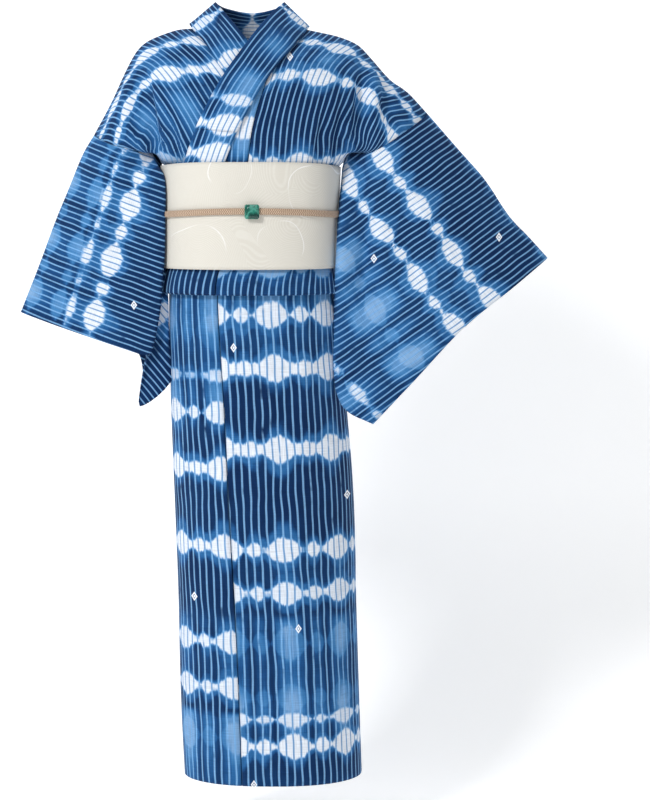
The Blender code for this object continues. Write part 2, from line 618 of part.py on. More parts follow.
def tube_from(controls, stations, first):
    """Tube grid from loops of control points; the first loop follows the armhole exactly."""
    count = controls.shape[1]
    along = np.linspace(0.0, len(controls) - 1.0, stations)
    loops = np.stack([spline(controls[:, k], along) for k in range(count)], axis=1)
    length = loop_length(first)[1]
    own = length[:-1] / length[-1]
    even = np.arange(len(first)) / len(first)
    grid = [first]
    for k, loop in enumerate(loops[1:], 1):
        fine = spline(loop, np.arange(0.0, count, 0.05), closed=True)
        ease = float(smooth_step(k / 4.0))
        grid.append(loop_shares(fine, own + (even - own) * ease))
    return np.array(grid)


def obi_out(angle):
    """Clear distance of the obi from the body ring."""
    front = float(smooth_step((math.radians(115) - abs(angle)) / math.radians(75)))
    return 0.0124 + 0.0042 * front


def obi_grid(columns=46, rows=5):
    """Band of the obi round the waist."""
    grid = []
    for share in np.linspace(0.0, 1.0, rows + 1):
        belly = 0.0012 * math.sin(math.pi * share)
        loop = []
        for k in range(columns):
            angle = -math.pi + 2 * math.pi * k / columns
            top = OBI_TOP_Z + 0.002 - OBI_SIDE_DIP * abs(math.sin(angle)) ** 4
            loop.append(ring_point(angle, OBI_LOW_Z + (top - OBI_LOW_Z) * share, obi_out(angle) + belly))
        grid.append(loop)
    return np.array(grid)


def tail_grid(columns=8):
    """Flat folded loop of the obi standing on its back."""
    base = ring_point(math.pi, CORD_Z, obi_out(math.pi) + OBI_CLOTH)[1] + 0.0042
    half = OBI_TAIL_DEPTH / 2.0
    top, low = OBI_TAIL_TOP_Z, OBI_TAIL_LOW_Z
    lean = 0.026
    section = [(0.0, low), (0.0, low + 0.10), (0.0, CORD_Z), (0.0, top - 0.004)]
    loop = []
    for y, z in section:
        loop.append((base + y + lean * (abs(z - CORD_Z) / 0.15) ** 2, z))
    loop.append((base + lean * ((top - CORD_Z) / 0.15) ** 2 + half * 0.5, top))
    for y, z in reversed(section):
        loop.append((base + y + OBI_TAIL_DEPTH * 0.5 + lean * (abs(z - CORD_Z) / 0.15) ** 2, z))
    loop.append((base + lean * ((low - CORD_Z) / 0.15) ** 2 + half * 0.5, low - 0.003))
    grid = []
    for x in np.linspace(-OBI_TAIL_WIDTH / 2, OBI_TAIL_WIDTH / 2, columns + 1):
        curl = 0.002 * (abs(x) / (OBI_TAIL_WIDTH / 2)) ** 3
        grid.append([(x, y + curl, z) for y, z in loop])
    return np.array(grid)


def hull(points):
    """Convex outline of flat points, in order."""
    ordered = sorted(map(tuple, points))
    sides = []
    for run in (ordered, ordered[::-1]):
        side = []
        for point in run:
            while len(side) > 1 and ((side[-1][0] - side[-2][0]) * (point[1] - side[-2][1])
                                     - (side[-1][1] - side[-2][1]) * (point[0] - side[-2][0])) <= 0:
                side.pop()
            side.append(point)
        sides += side[:-1]
    return np.array(sides)


def cord_mesh(columns=84, around=6):
    """Closed flat cord drawn tight round the obi and over its folded tail."""
    away = OBI_CLOTH + 0.0020 + CORD_DEPTH / 2
    around_body = [ring_point(a, CORD_Z, obi_out(a) + away)[:2] for a in np.linspace(-math.pi, math.pi, 120)]
    tail = tail_grid()
    tail_y = tail[:, :, 1][np.abs(tail[:, :, 2] - CORD_Z) < 0.001].max() + OBI_CLOTH * 0.8
    corner = OBI_TAIL_WIDTH / 2 + 0.0060
    corners = [(side * corner * share, tail_y + 0.0016 + CORD_DEPTH / 2 - 0.0010 * (share > 0.98)) for side in (-1, 1)
               for share in (0.94, 1.0)]
    path = hull(around_body + corners)
    closed = np.vstack([path, path[:1]])
    length = np.concatenate([[0.0], np.cumsum(np.linalg.norm(np.diff(closed, axis=0), axis=1))])
    want = np.linspace(0.0, length[-1], columns, endpoint=False)
    flat = np.stack([np.interp(want, length, closed[:, k]) for k in range(2)], axis=1)
    points, faces = [], []
    for k in range(columns):
        run = flat[(k + 1) % columns] - flat[k - 1]
        normal = np.array([run[1], -run[0], 0.0]) / np.linalg.norm(run)
        centre = np.array([flat[k][0], flat[k][1], CORD_Z - 0.012 * flat[k][1]])
        for m in range(around):
            turn = 2 * math.pi * (m + 0.5) / around
            side, tall = math.cos(turn), math.sin(turn)
            spread = normal * math.copysign(abs(side) ** 0.7, side) * CORD_DEPTH / 2
            height = math.copysign(abs(tall) ** 0.7, tall) * CORD_WIDTH / 2
            points.append(centre + spread + np.array([0.0, 0.0, height]))
    for k in range(columns):
        for m in range(around):
            a, b = k * around + m, k * around + (m + 1) % around
            c, d = ((k + 1) % columns) * around + (m + 1) % around, ((k + 1) % columns) * around + m
            faces.append((a, b, c, d))
    return np.array(points), faces


def clasp_mesh():
    """Step-cut clasp with cut corners, standing in front of the cord."""
    angle = angle_at(CLASP_X, CORD_Z)
    face_y = ring_point(angle, CORD_Z, obi_out(angle) + OBI_CLOTH + 0.0020 + CORD_DEPTH + 0.0001)[1]
    levels = ((0.0, 0.40), (0.0016, 0.50), (0.0034, 0.50), (0.0050, 0.45), (0.0064, 0.385), (CLASP_DEPTH, 0.30))
    points, faces = [], []
    for depth, share in levels:
        half = CLASP_SIZE * share
        cut = half * 0.36
        outline = ((half, half - cut), (half - cut, half), (cut - half, half), (-half, half - cut),
                   (-half, cut - half), (cut - half, -half), (half - cut, -half), (half, cut - half))
        points += [(CLASP_X + x, face_y - depth, CORD_Z + 0.001 + z) for x, z in outline]
    for level in range(len(levels) - 1):
        for k in range(8):
            a, b = level * 8 + k, level * 8 + (k + 1) % 8
            faces.append((a, b, b + 8, a + 8))
    faces.append(tuple(range(7, -1, -1)))
    faces.append(tuple(range(len(points) - 8, len(points))))
    return np.array(points), faces


def main():
    """Build every piece of the robe."""
    for old in list(bpy.data.objects):
        bpy.data.objects.remove(old, do_unlink=True)
    indigo = (0.030, 0.085, 0.235)
    blue = (0.055, 0.140, 0.330)
    last = len(COLLAR) - 1.0

    right = body_grid(-1)
    right = press_creases(right, -grid_normals(right))
    right_mesh = shell(right, CLOTH, flip=True)
    add_part("body_right", *right_mesh, indigo, 0.85)
    under = right_okumi_grid()
    under = press_creases(under, grid_normals(under))
    add_part("okumi_right", *shell(under, CLOTH), indigo, 0.85)

    collar = collar_grid(0.0, last, 49)
    turn = 25
    right_sheet = outer_sheet(right, CLOTH, flip=True)
    collar[turn:] = soften(push_out(collar[turn:], [right_sheet], LAYER_GAP))
    collar[turn:] = push_out(collar[turn:], [right_sheet], LAYER_GAP)
    collar_stack = COLLAR_CLOTH + 1.9 * LAYER_GAP + OVER_COLLAR_CLOTH
    under_sheet = outer_sheet(collar[turn:], collar_stack, flip=True)

    left = body_grid(1)
    left = press_creases(left, grid_normals(left))
    first_row = len(tuck_path(True)) - 1
    left = push_out(left, [under_sheet, right_sheet], 1.6 * LAYER_GAP, (first_row, first_row + 3 * SPAN_ROWS))
    left_mesh = shell(left, CLOTH)
    add_part("body_left", *left_mesh, indigo, 0.85)
    over = left_okumi_grid(left)
    over = push_out(over, [under_sheet, right_sheet], 1.6 * LAYER_GAP, (first_row, over.shape[1]))
    over_mesh = shell(over, CLOTH)
    add_part("okumi_left", *over_mesh, indigo, 0.85)

    sheets = [outer_sheet(left, CLOTH), outer_sheet(over, CLOTH), right_sheet, under_sheet]
    collar[:turn - 2] = soften(push_out(collar[:turn - 2], sheets, LAYER_GAP))
    collar[:turn - 2] = push_out(collar[:turn - 2], sheets, LAYER_GAP)
    add_part("eri", *shell(collar, COLLAR_CLOTH, flip=True), indigo, 0.85)
    step = (len(collar) - 1) / last
    first_over, last_over = (int(round(end * step)) for end in OVER_COLLAR_ENDS)
    part = collar[first_over:last_over + 1]
    lifted = part - grid_normals(collar)[first_over:last_over + 1] * (COLLAR_CLOTH + LAYER_GAP)
    add_part("kake_eri", *shell(lifted, OVER_COLLAR_CLOTH, flip=True), blue, 0.85)

    chest = slice(len(tuck_path(True)), len(tuck_path(True)) + 6 * SPAN_ROWS + 1)
    sleeve = left_sleeve_grid(left[-1, chest])
    sleeve = press_creases(sleeve, -grid_normals(sleeve, True))
    add_part("sleeve_left", *shell(sleeve, CLOTH, loop_rows=True, flip=True), indigo, 0.85)
    chest = slice(len(tuck_path(False)), len(tuck_path(False)) + 6 * SPAN_ROWS + 1)
    sleeve = right_sleeve_grid(right[-1, chest])
    sleeve = press_creases(sleeve, grid_normals(sleeve, True))
    add_part("sleeve_right", *shell(sleeve, CLOTH, loop_rows=True), indigo, 0.85)

    under_band = [outer_sheet(left[:, first_row - 2:first_row + 3], CLOTH), outer_sheet(collar[:turn], COLLAR_CLOTH, flip=True)]
    band = push_out(obi_grid(), under_band, LAYER_GAP)
    add_part("obi_band", *shell(band, OBI_CLOTH, loop_rows=True, flip=True), (0.79, 0.76, 0.69), 0.7)
    add_part("obi_tail", *shell(tail_grid(), OBI_CLOTH * 0.8, loop_rows=True), (0.79, 0.76, 0.69), 0.7)
    add_part("obijime", *cord_mesh(), (0.48, 0.31, 0.20), 0.6)
    add_part("obidome", *clasp_mesh(), (0.005, 0.21, 0.15), 0.1)


main()
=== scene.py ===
"""Worn cotton yukata with obi, obijime and obidome: the dressed part, metres, +Z up, the front faces -Y."""
import logging
import math
from dataclasses import dataclass, field, replace
from enum import Enum
from functools import reduce
from typing import Callable, Iterable, Optional, Sequence

import bmesh
import bpy
import numpy as np
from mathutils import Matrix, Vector
from mathutils.bvhtree import BVHTree


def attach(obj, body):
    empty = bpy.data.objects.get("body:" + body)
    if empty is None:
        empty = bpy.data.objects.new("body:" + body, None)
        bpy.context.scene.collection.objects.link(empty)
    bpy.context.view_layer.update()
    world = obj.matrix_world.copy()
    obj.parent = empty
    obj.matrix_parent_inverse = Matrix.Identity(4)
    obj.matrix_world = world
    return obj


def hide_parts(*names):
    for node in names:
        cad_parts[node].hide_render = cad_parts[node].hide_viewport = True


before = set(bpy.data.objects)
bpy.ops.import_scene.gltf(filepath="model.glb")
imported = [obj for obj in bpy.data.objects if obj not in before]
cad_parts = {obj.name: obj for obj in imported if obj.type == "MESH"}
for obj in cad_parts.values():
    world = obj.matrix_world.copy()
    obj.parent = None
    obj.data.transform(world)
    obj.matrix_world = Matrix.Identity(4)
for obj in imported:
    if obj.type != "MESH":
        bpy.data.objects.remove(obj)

logging.basicConfig(level=logging.INFO, format="%(message)s")
LOG = logging.getLogger("yukata")
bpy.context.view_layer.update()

# Cloth sizes, the same as in the solids
CLOTH = 0.0015
COLLAR_CLOTH = 0.0018
OVER_COLLAR_CLOTH = 0.0012
OBI_CLOTH = 0.0028
SEAM = 0.0006
LAYER_GAP = 0.0012
LEFT_LIFT = 0.0030
TUCK_OUT = 0.0058
ARMPIT_X = 0.1530
ARMPIT_UP = 0.018

# Share of a push that reaches the next point, and the thickness of the thin sheets
SPREAD = 0.8
SHEET = 0.0009

# Lengths that 1 stands for in the dye attribute
GAP_UNIT = 0.2
HALF_UNIT = 0.05

# Heights of the hem, the obi, the tuck and the cord
HEM_Z = -1.235
OBI_TOP_Z = -0.219
OBI_LOW_Z = -0.390
TUCK_TOP_Z = -0.340
OHASHORI_Z = -0.430
CORD_Z = -0.2975

# Roundness of the body's outline, and the ring angles of the side seam and the free edges
RING_POWER = 2.3
SIDE_ANGLE = math.radians(90)
FREE_EDGE_ANGLE = math.radians(-80)
UNDER_EDGE_ANGLE = math.radians(68)
BODY_COLUMNS = 11
SPAN_ROWS = 3
# Coarse row at the top of the plain skirt
SKIRT_ROW = 10
COLLAR_COLUMNS = 4
# Rows of the collar's grid, and how many of them lie between two rows of its table
COLLAR_STATIONS = 49
COLLAR_SPAN = 3.0
# The row at the centre back, where the collar turns from the left front to the right one
COLLAR_TURN = 25
# How far back the folded corner of the right sleeve lies
FOLD_STEP = 0.010
FOLD_SAMPLES = (4, 4, 5, 2, 3, 3, 1, 3, 5, 4, 3)


class Side(Enum):
    """The wearer's side that a piece is on."""

    LEFT = 1
    RIGHT = -1


class Face(Enum):
    """The face of the robe that a crease is on."""

    FRONT = -1
    BACK = 1


def rows_of(kind: type, rows: Iterable[tuple]) -> tuple:
    """Table of one kind of row from plain rows."""
    return tuple(kind(*row) for row in rows)


@dataclass(frozen=True)
class Ring:
    """Outline of the body form at one height."""

    z: float
    half_width: float
    centre_x: float
    front: float
    back: float


RINGS = rows_of(Ring, (
    (-1.235, 0.1445, 0.034, 0.118, 0.12), (-1.109, 0.145, 0.029, 0.119, 0.122),
    (-0.943, 0.144, 0.025, 0.119, 0.124), (-0.777, 0.145, 0.02, 0.118, 0.125),
    (-0.611, 0.141, 0.011, 0.113, 0.121), (-0.445, 0.136, 0.003, 0.106, 0.11),
    (-0.39, 0.129, -0.002, 0.102, 0.102), (-0.31, 0.128, -0.002, 0.099, 0.096),
    (-0.219, 0.132, -0.002, 0.098, 0.097),
))


@dataclass(frozen=True)
class SeamPoint:
    """Place of a seam in the front view."""

    z: float
    x: float


LEFT_SEAM = rows_of(SeamPoint, (
    (-1.235, -0.014), (-1.0, -0.022), (-0.78, -0.034), (-0.6, -0.042), (-0.445, -0.051), (-0.39, -0.047),
    (-0.31, -0.026), (-0.219, -0.004),
))
RIGHT_SEAM = rows_of(SeamPoint, (
    (-1.235, 0.04), (-0.445, 0.042), (-0.31, 0.052), (-0.219, 0.07),
))
LEFT_EDGE = rows_of(SeamPoint, (
    (-0.219, -0.074), (-0.15, -0.046), (-0.095, -0.012), (-0.06, 0.016),
))


@dataclass(frozen=True)
class Column:
    """Column of the upper front: its share of the panel, two points on the chest and its top."""

    side: float
    low_x: float
    x1: float
    y1: float
    z1: float
    x2: float
    y2: float
    z2: float
    top_x: float
    top_z: float


RIGHT_FRONT = rows_of(Column, (
    (0.0, 0.07, 0.036, -0.102, -0.14, -0.024, -0.086, -0.05, -0.079, 0.0),
    (0.17, 0.02, -0.004, -0.106, -0.141, -0.056, -0.085, -0.05, -0.098, -0.001),
    (0.34, -0.035, -0.05, -0.107, -0.141, -0.09, -0.08, -0.052, -0.12, -0.003),
    (0.5, -0.082, -0.098, -0.103, -0.141, -0.124, -0.073, -0.056, -0.145, -0.011),
    (0.62, -0.112, -0.14, -0.089, -0.142, -0.156, -0.064, -0.064, -0.168, -0.021),
    (0.71, -0.124, -0.162, -0.062, -0.152, -0.172, -0.048, -0.078, -0.184, -0.034),
    (0.8, -0.131, -0.182, -0.067, -0.176, -0.193, -0.056, -0.098, -0.202, -0.064),
    (0.9, -0.135, -0.184, -0.062, -0.194, -0.215, -0.056, -0.144, -0.224, -0.112),
    (1.0, -0.138, -0.18, -0.048, -0.199, -0.23, -0.05, -0.187, -0.257, -0.173),
))
LEFT_FRONT = rows_of(Column, (
    (0.0, -0.004, 0.009, -0.106, -0.146, 0.038, -0.086, -0.06, 0.079, -0.001),
    (0.17, 0.03, 0.046, -0.107, -0.142, 0.062, -0.083, -0.056, 0.092, -0.003),
    (0.34, 0.062, 0.078, -0.106, -0.141, 0.09, -0.078, -0.056, 0.112, -0.007),
    (0.5, 0.09, 0.112, -0.098, -0.141, 0.124, -0.07, -0.062, 0.142, -0.014),
    (0.62, 0.112, 0.143, -0.086, -0.142, 0.157, -0.062, -0.07, 0.172, -0.026),
    (0.71, 0.124, 0.169, -0.074, -0.152, 0.181, -0.055, -0.084, 0.194, -0.047),
    (0.8, 0.131, 0.19, -0.07, -0.172, 0.204, -0.058, -0.104, 0.222, -0.08),
    (0.9, 0.134, 0.198, -0.062, -0.192, 0.226, -0.056, -0.136, 0.252, -0.101),
    (1.0, 0.136, 0.194, -0.052, -0.202, 0.246, -0.054, -0.172, 0.29, -0.141),
))


@dataclass(frozen=True)
class Back:
    """Column of the upper back: its share of the panel, its shift on the left and two points."""

    side: float
    shift: float
    low_x: float
    x1: float
    y1: float
    z1: float
    x2: float
    y2: float
    z2: float


BACK = rows_of(Back, (
    (0.0, 0.0, 0.0006, 0.001, 0.104, -0.13, 0.006, 0.09, -0.02),
    (0.17, 0.004, 0.028, 0.03, 0.106, -0.132, 0.042, 0.084, -0.032),
    (0.34, 0.006, 0.058, 0.07, 0.105, -0.135, 0.088, 0.078, -0.046),
    (0.5, 0.008, 0.088, 0.107, 0.098, -0.138, 0.122, 0.072, -0.056),
    (0.62, 0.01, 0.11, 0.14, 0.088, -0.142, 0.156, 0.064, -0.066),
    (0.71, 0.012, 0.123, 0.163, 0.076, -0.152, 0.176, 0.054, -0.08),
    (0.8, 0.014, 0.131, 0.184, 0.07, -0.176, 0.196, 0.056, -0.1),
    (0.9, 0.014, 0.134, 0.186, 0.062, -0.194, 0.216, 0.056, -0.143),
    (1.0, 0.015, 0.136, 0.18, 0.05, -0.199, 0.231, 0.05, -0.187),
))


@dataclass(frozen=True)
class CollarRow:
    """Station of the collar: its inner and its outer edge."""

    in_x: float
    in_y: float
    in_z: float
    out_x: float
    out_y: float
    out_z: float


COLLAR = rows_of(CollarRow, (
    (-0.113, -0.074, -0.236, -0.047, -0.104, -0.24), (-0.104, -0.08, -0.212, -0.039, -0.106, -0.216),
    (-0.085, -0.1, -0.162, -0.019, -0.11, -0.168), (-0.051, -0.104, -0.096, 0.011, -0.112, -0.112),
    (-0.012, -0.086, -0.039, 0.042, -0.099, -0.066), (0.023, -0.053, 0.01, 0.074, -0.062, -0.026),
    (0.051, -0.004, 0.04, 0.093, -0.002, 0.001), (0.042, 0.044, 0.034, 0.074, 0.06, -0.006),
    (0.0, 0.07, 0.027, 0.0, 0.092, -0.016), (-0.044, 0.044, 0.034, -0.076, 0.06, -0.004),
    (-0.055, -0.004, 0.04, -0.099, -0.002, 0.004), (-0.028, -0.05, 0.008, -0.075, -0.058, -0.026),
    (0.002, -0.078, -0.031, -0.049, -0.092, -0.063), (0.04, -0.096, -0.084, -0.015, -0.105, -0.112),
    (0.077, -0.1, -0.149, 0.019, -0.107, -0.172), (0.094, -0.084, -0.21, 0.037, -0.1, -0.218),
    (0.1, -0.078, -0.232, 0.043, -0.099, -0.24),
))
OVER_COLLAR_ENDS = (1.95, 14.0)


@dataclass(frozen=True)
class Section:
    """Section across the left sleeve: top fold, middle and low edge, and its half depths."""

    top_x: float
    top_z: float
    mid_x: float
    mid_z: float
    low_x: float
    low_z: float
    low_y: float
    near: float
    middle: float
    low: float


LEFT_SLEEVE = rows_of(Section, (
    (0.29, -0.141, 0.223, -0.186, 0.163, -0.228, 0.0, 0.046, 0.055, 0.036),
    (0.34, -0.198, 0.246, -0.274, 0.158, -0.345, -0.024, 0.04, 0.048, 0.022),
    (0.384, -0.248, 0.268, -0.362, 0.154, -0.466, -0.042, 0.036, 0.042, 0.016),
    (0.423, -0.306, 0.292, -0.436, 0.153, -0.556, -0.062, 0.032, 0.036, 0.012),
    (0.456, -0.341, 0.318, -0.486, 0.166, -0.618, -0.074, 0.03, 0.032, 0.01),
    (0.488, -0.376, 0.347, -0.487, 0.203, -0.64, -0.072, 0.027, 0.026, 0.008),
))


@dataclass(frozen=True)
class Fold:
    """Section of the right sleeve: top fold, folded front edge and the hanging corner behind it."""

    top_x: float
    top_z: float
    edge_x: float
    edge_z: float
    edge_y: float
    hang_x: float
    hang_z: float
    low_x: float
    low_z: float
    near: float
    middle: float
    back: float


RIGHT_SLEEVE = rows_of(Fold, (
    (-0.257, -0.173, -0.16, -0.212, -0.036, -0.153, -0.215, -0.15, -0.217, 0.046, 0.055, 0.046),
    (-0.277, -0.207, -0.155, -0.25, -0.056, -0.156, -0.262, -0.154, -0.272, 0.044, 0.06, 0.034),
    (-0.3, -0.262, -0.156, -0.315, -0.056, -0.161, -0.345, -0.153, -0.352, 0.042, 0.058, 0.028),
    (-0.322, -0.314, -0.158, -0.374, -0.056, -0.165, -0.428, -0.15, -0.43, 0.04, 0.056, 0.024),
    (-0.35, -0.388, -0.167, -0.452, -0.056, -0.174, -0.52, -0.149, -0.505, 0.036, 0.052, 0.02),
    (-0.381, -0.465, -0.178, -0.532, -0.056, -0.184, -0.618, -0.143, -0.574, 0.03, 0.048, 0.014),
))


@dataclass(frozen=True)
class Crease:
    """Soft trough, or ridge where the depth is negative: its ends in the front view and its size."""

    x0: float
    z0: float
    x1: float
    z1: float
    depth: float
    width: float
    face: Face = Face.FRONT


MAIN_CREASES = rows_of(Crease, (
    (0.18, -0.05, 0.177, -0.175, 0.009, 0.009), (0.216, -0.105, 0.232, -0.165, 0.004, 0.01),
    (0.186, -0.3, 0.19, -0.5, 0.007, 0.014), (0.24, -0.29, 0.275, -0.43, 0.005, 0.016),
    (-0.2, -0.26, -0.23, -0.44, 0.005, 0.014), (-0.178, -0.1, -0.206, -0.17, 0.004, 0.01),
    (-0.215, -0.25, -0.262, -0.36, 0.004, 0.012, Face.BACK), (0.225, -0.26, 0.24, -0.47, 0.006, 0.015, Face.BACK),
    (0.05, -0.46, 0.062, -0.76, 0.003, 0.018), (-0.03, -0.7, -0.04, -1.15, 0.0025, 0.02),
    (0.11, -0.56, 0.12, -1.05, 0.0035, 0.018), (-0.092, -0.48, -0.08, -0.9, 0.003, 0.018),
    (0.06, -0.48, 0.07, -1.0, 0.0045, 0.022, Face.BACK), (-0.05, -0.48, -0.046, -0.95, 0.0045, 0.022, Face.BACK),
))
# Smaller creases that only the thin cloth shows
FINE_CREASES = rows_of(Crease, (
    (0.168, -0.07, 0.154, -0.19, -0.0085, 0.0065), (0.154, -0.085, 0.138, -0.205, 0.0058, 0.0055),
    (0.138, -0.11, 0.12, -0.212, -0.0056, 0.0055), (0.122, -0.13, 0.104, -0.214, 0.0044, 0.005),
    (0.104, -0.155, 0.088, -0.214, -0.0034, 0.005), (0.2, -0.055, 0.2, -0.15, -0.008, 0.0085),
    (0.222, -0.085, 0.214, -0.15, 0.006, 0.006), (0.205, -0.16, 0.172, -0.215, 0.003, 0.006),
    (-0.164, -0.08, -0.148, -0.205, 0.0082, 0.006), (-0.152, -0.196, -0.142, -0.222, -0.008, 0.01),
    (0.152, -0.198, 0.142, -0.222, -0.008, 0.01), (-0.149, -0.1, -0.134, -0.212, -0.0066, 0.0055),
    (-0.131, -0.118, -0.116, -0.214, 0.005, 0.0055), (-0.114, -0.14, -0.102, -0.214, -0.0034, 0.005),
    (-0.18, -0.07, -0.168, -0.19, -0.0085, 0.007), (-0.198, -0.11, -0.184, -0.19, 0.005, 0.006),
    (-0.096, -0.15, -0.088, -0.214, 0.002, 0.0045), (-0.215, -0.2, -0.19, -0.33, -0.003, 0.009),
    (-0.245, -0.24, -0.262, -0.42, 0.0026, 0.011), (-0.29, -0.3, -0.32, -0.45, -0.0022, 0.012),
    (0.205, -0.23, 0.214, -0.42, -0.004, 0.011), (0.17, -0.33, 0.176, -0.54, -0.0034, 0.009),
    (0.262, -0.26, 0.33, -0.42, -0.0026, 0.014), (0.31, -0.24, 0.4, -0.38, 0.0022, 0.015),
    (0.215, -0.45, 0.236, -0.59, 0.0034, 0.012), (-0.01, -0.45, -0.012, -0.62, -0.0016, 0.011),
    (0.082, -0.45, 0.088, -0.7, -0.0018, 0.012), (0.14, -0.47, 0.146, -0.86, 0.0024, 0.011),
    (-0.118, -0.45, -0.112, -0.76, -0.002, 0.01), (0.026, -0.82, 0.03, -1.22, 0.002, 0.017),
    (0.084, -0.9, 0.094, -1.225, -0.0022, 0.016), (0.15, -0.82, 0.158, -1.225, 0.0026, 0.012),
    (-0.07, -0.93, -0.074, -1.225, 0.0022, 0.015), (-0.104, -0.8, -0.1, -1.225, -0.0018, 0.011),
    (0.12, -0.06, 0.15, -0.18, 0.004, 0.013, Face.BACK), (-0.12, -0.06, -0.15, -0.18, 0.004, 0.013, Face.BACK),
    (0.06, -0.1, 0.07, -0.2, -0.002, 0.012, Face.BACK), (-0.056, -0.09, -0.072, -0.2, -0.0022, 0.012, Face.BACK),
    (0.112, -0.46, 0.126, -0.9, -0.003, 0.015, Face.BACK),
    (-0.104, -0.46, -0.098, -0.82, -0.003, 0.015, Face.BACK), (0.02, -0.7, 0.028, -1.22, -0.003, 0.018, Face.BACK),
    (-0.01, -0.56, 0.004, -1.0, 0.0026, 0.014, Face.BACK), (0.29, -0.23, 0.34, -0.43, 0.004, 0.015, Face.BACK),
    (0.35, -0.26, 0.42, -0.4, -0.003, 0.015, Face.BACK), (-0.25, -0.23, -0.3, -0.42, -0.003, 0.013, Face.BACK),
))

# Gathers of the tuck, and sizes of the obi, its folded end, the cord and the clasp
GATHER_COUNT = 9
GATHER_DEPTH = 0.0016
OBI_SIDE_DIP = 0.007
OBI_TAIL_WIDTH = 0.165
OBI_TAIL_TOP_Z = -0.190
OBI_TAIL_LOW_Z = -0.450
OBI_TAIL_DEPTH = 0.011
CORD_WIDTH = 0.0105
CORD_DEPTH = 0.0050
# Clear distance under the cord, its fall towards the back and how far it hangs at its sides
CORD_AWAY = 0.0020
CORD_TILT = 0.012
CORD_BOW = 0.005
# Clear distance of the obi from the body form, and what is added at the front
OBI_AWAY = 0.0124
OBI_FRONT_AWAY = 0.0042
CLASP_X = 0.004
CLASP_SIZE = 0.0235
CLASP_DEPTH = 0.0080


def smooth_step(value: float | np.ndarray) -> float | np.ndarray:
    """Ease a value from 0 to 1."""
    t = np.clip(value, 0.0, 1.0)
    return t * t * (3.0 - 2.0 * t)


def spline(rows: Sequence, places: Sequence[float], closed: bool = False) -> np.ndarray:
    """Read a smooth curve through evenly counted rows.

    Args:
        rows: points or table rows on the curve.
        places: where to read it, counted in rows.
        closed: whether the curve is a loop.

    Returns:
        One row for each place.
    """
    rows = np.asarray(rows, dtype=float)
    places = np.asarray(places, dtype=float)
    count = len(rows)
    if closed:
        first = np.floor(places).astype(int)
        p0, p1, p2, p3 = (rows[(first + k) % count] for k in (-1, 0, 1, 2))
    else:
        first = np.clip(np.floor(places).astype(int), 0, count - 2)
        padded = np.vstack([2 * rows[:1] - rows[1:2], rows, 2 * rows[-1:] - rows[-2:-1]])
        p0, p1, p2, p3 = (padded[first + k] for k in (0, 1, 2, 3))
    t = (places - first)[:, None]
    return 0.5 * (2 * p1 + (p2 - p0) * t + (2 * p0 - 5 * p1 + 4 * p2 - p3) * t * t
                  + (3 * p1 - p0 - 3 * p2 + p3) * t ** 3)


def table_at(table: Sequence, key: str, names: Sequence[str], value: float) -> np.ndarray:
    """Read columns of a table at a value of its key column, as one row."""
    keys = np.array([getattr(row, key) for row in table])
    order = np.argsort(keys)
    columns = np.array([[getattr(row, name) for name in names] for row in table])[order]
    place = np.interp(value, keys[order], np.arange(len(keys)))
    return spline(columns, np.atleast_1d(place))


def ring_point(angle: float, z: float, out: float = 0.0) -> np.ndarray:
    """Point on the body form: angle 0 is the front middle, a quarter turn is the +X side."""
    width, centre, front, back = table_at(RINGS, "z", ("half_width", "centre_x", "front", "back"), z)[0]
    sine, cosine = math.sin(angle), math.cos(angle)
    power = 2.0 / RING_POWER
    depth = front if cosine > 0 else back
    x = width * math.copysign(abs(sine) ** power, sine)
    y = -depth * math.copysign(abs(cosine) ** power, cosine)
    grow = RING_POWER - 1.0
    normal = np.array([math.copysign(abs(x / width) ** grow / width, x),
                       math.copysign(abs(y / depth) ** grow / depth, y)])
    normal /= np.linalg.norm(normal)
    return np.array([centre + x + normal[0] * out, y + normal[1] * out, z])


def angle_at(x: float, z: float) -> float:
    """Ring angle on the front at a given x."""
    width, centre = table_at(RINGS, "z", ("half_width", "centre_x"), z)[0]
    share = min(1.0, abs(x - centre) / width)
    return math.copysign(math.asin(share ** (RING_POWER / 2.0)), x - centre)


def seam_angle(seam: Sequence[SeamPoint], z: float) -> float:
    """Ring angle of a seam at a height."""
    return angle_at(float(table_at(seam, "z", ("x",), z)[0][0]), z)


def lift_over(angle: float) -> float:
    """Outward step of the left front, which lies over the right one."""
    return LEFT_LIFT * float(smooth_step((math.radians(140) - abs(angle)) / math.radians(55)))


def tuck_path(folded: bool) -> list[tuple[float, float, float]]:
    """Rows from hem to chest as height, outward step and share of the roll below the obi."""
    skirt = (HEM_Z, -1.150, -1.045, -0.940, -0.835, -0.730, -0.630, -0.540, -0.470, -0.425, -0.389)
    rows = [(z, 0.0, 0.0) for z in skirt]
    if folded:
        top, low = TUCK_TOP_Z, OHASHORI_Z
        rows += [(top - 0.005, 0.0, 0.0), (top - 0.0012, 0.0006, 0.0), (top, 0.0022, 0.0),
                 (top - 0.0012, 0.0038, 0.0), (top - 0.005, 0.0044, 0.0),
                 (-0.389, 0.0044, 0.10), (-0.406, 0.0044, 0.75), (low + 0.004, 0.0044, 1.0),
                 (low, 0.0051, 1.0), (low + 0.004, TUCK_OUT, 1.0), (-0.406, TUCK_OUT, 0.75),
                 (-0.389, TUCK_OUT, 0.10), (-0.350, TUCK_OUT, 0.0)]
    rows += [(z, TUCK_OUT if folded else 0.0, 0.0) for z in (-0.312, -0.262, -0.2255)]
    return rows


def puff_out(angle: float, share: float) -> float:
    """Roll of the tucked cloth below the obi, with small gathers."""
    gather = GATHER_DEPTH * math.sin(GATHER_COUNT * angle * 2.0 + 0.7 * math.sin(3.0 * angle))
    return share * (0.0078 + gather)


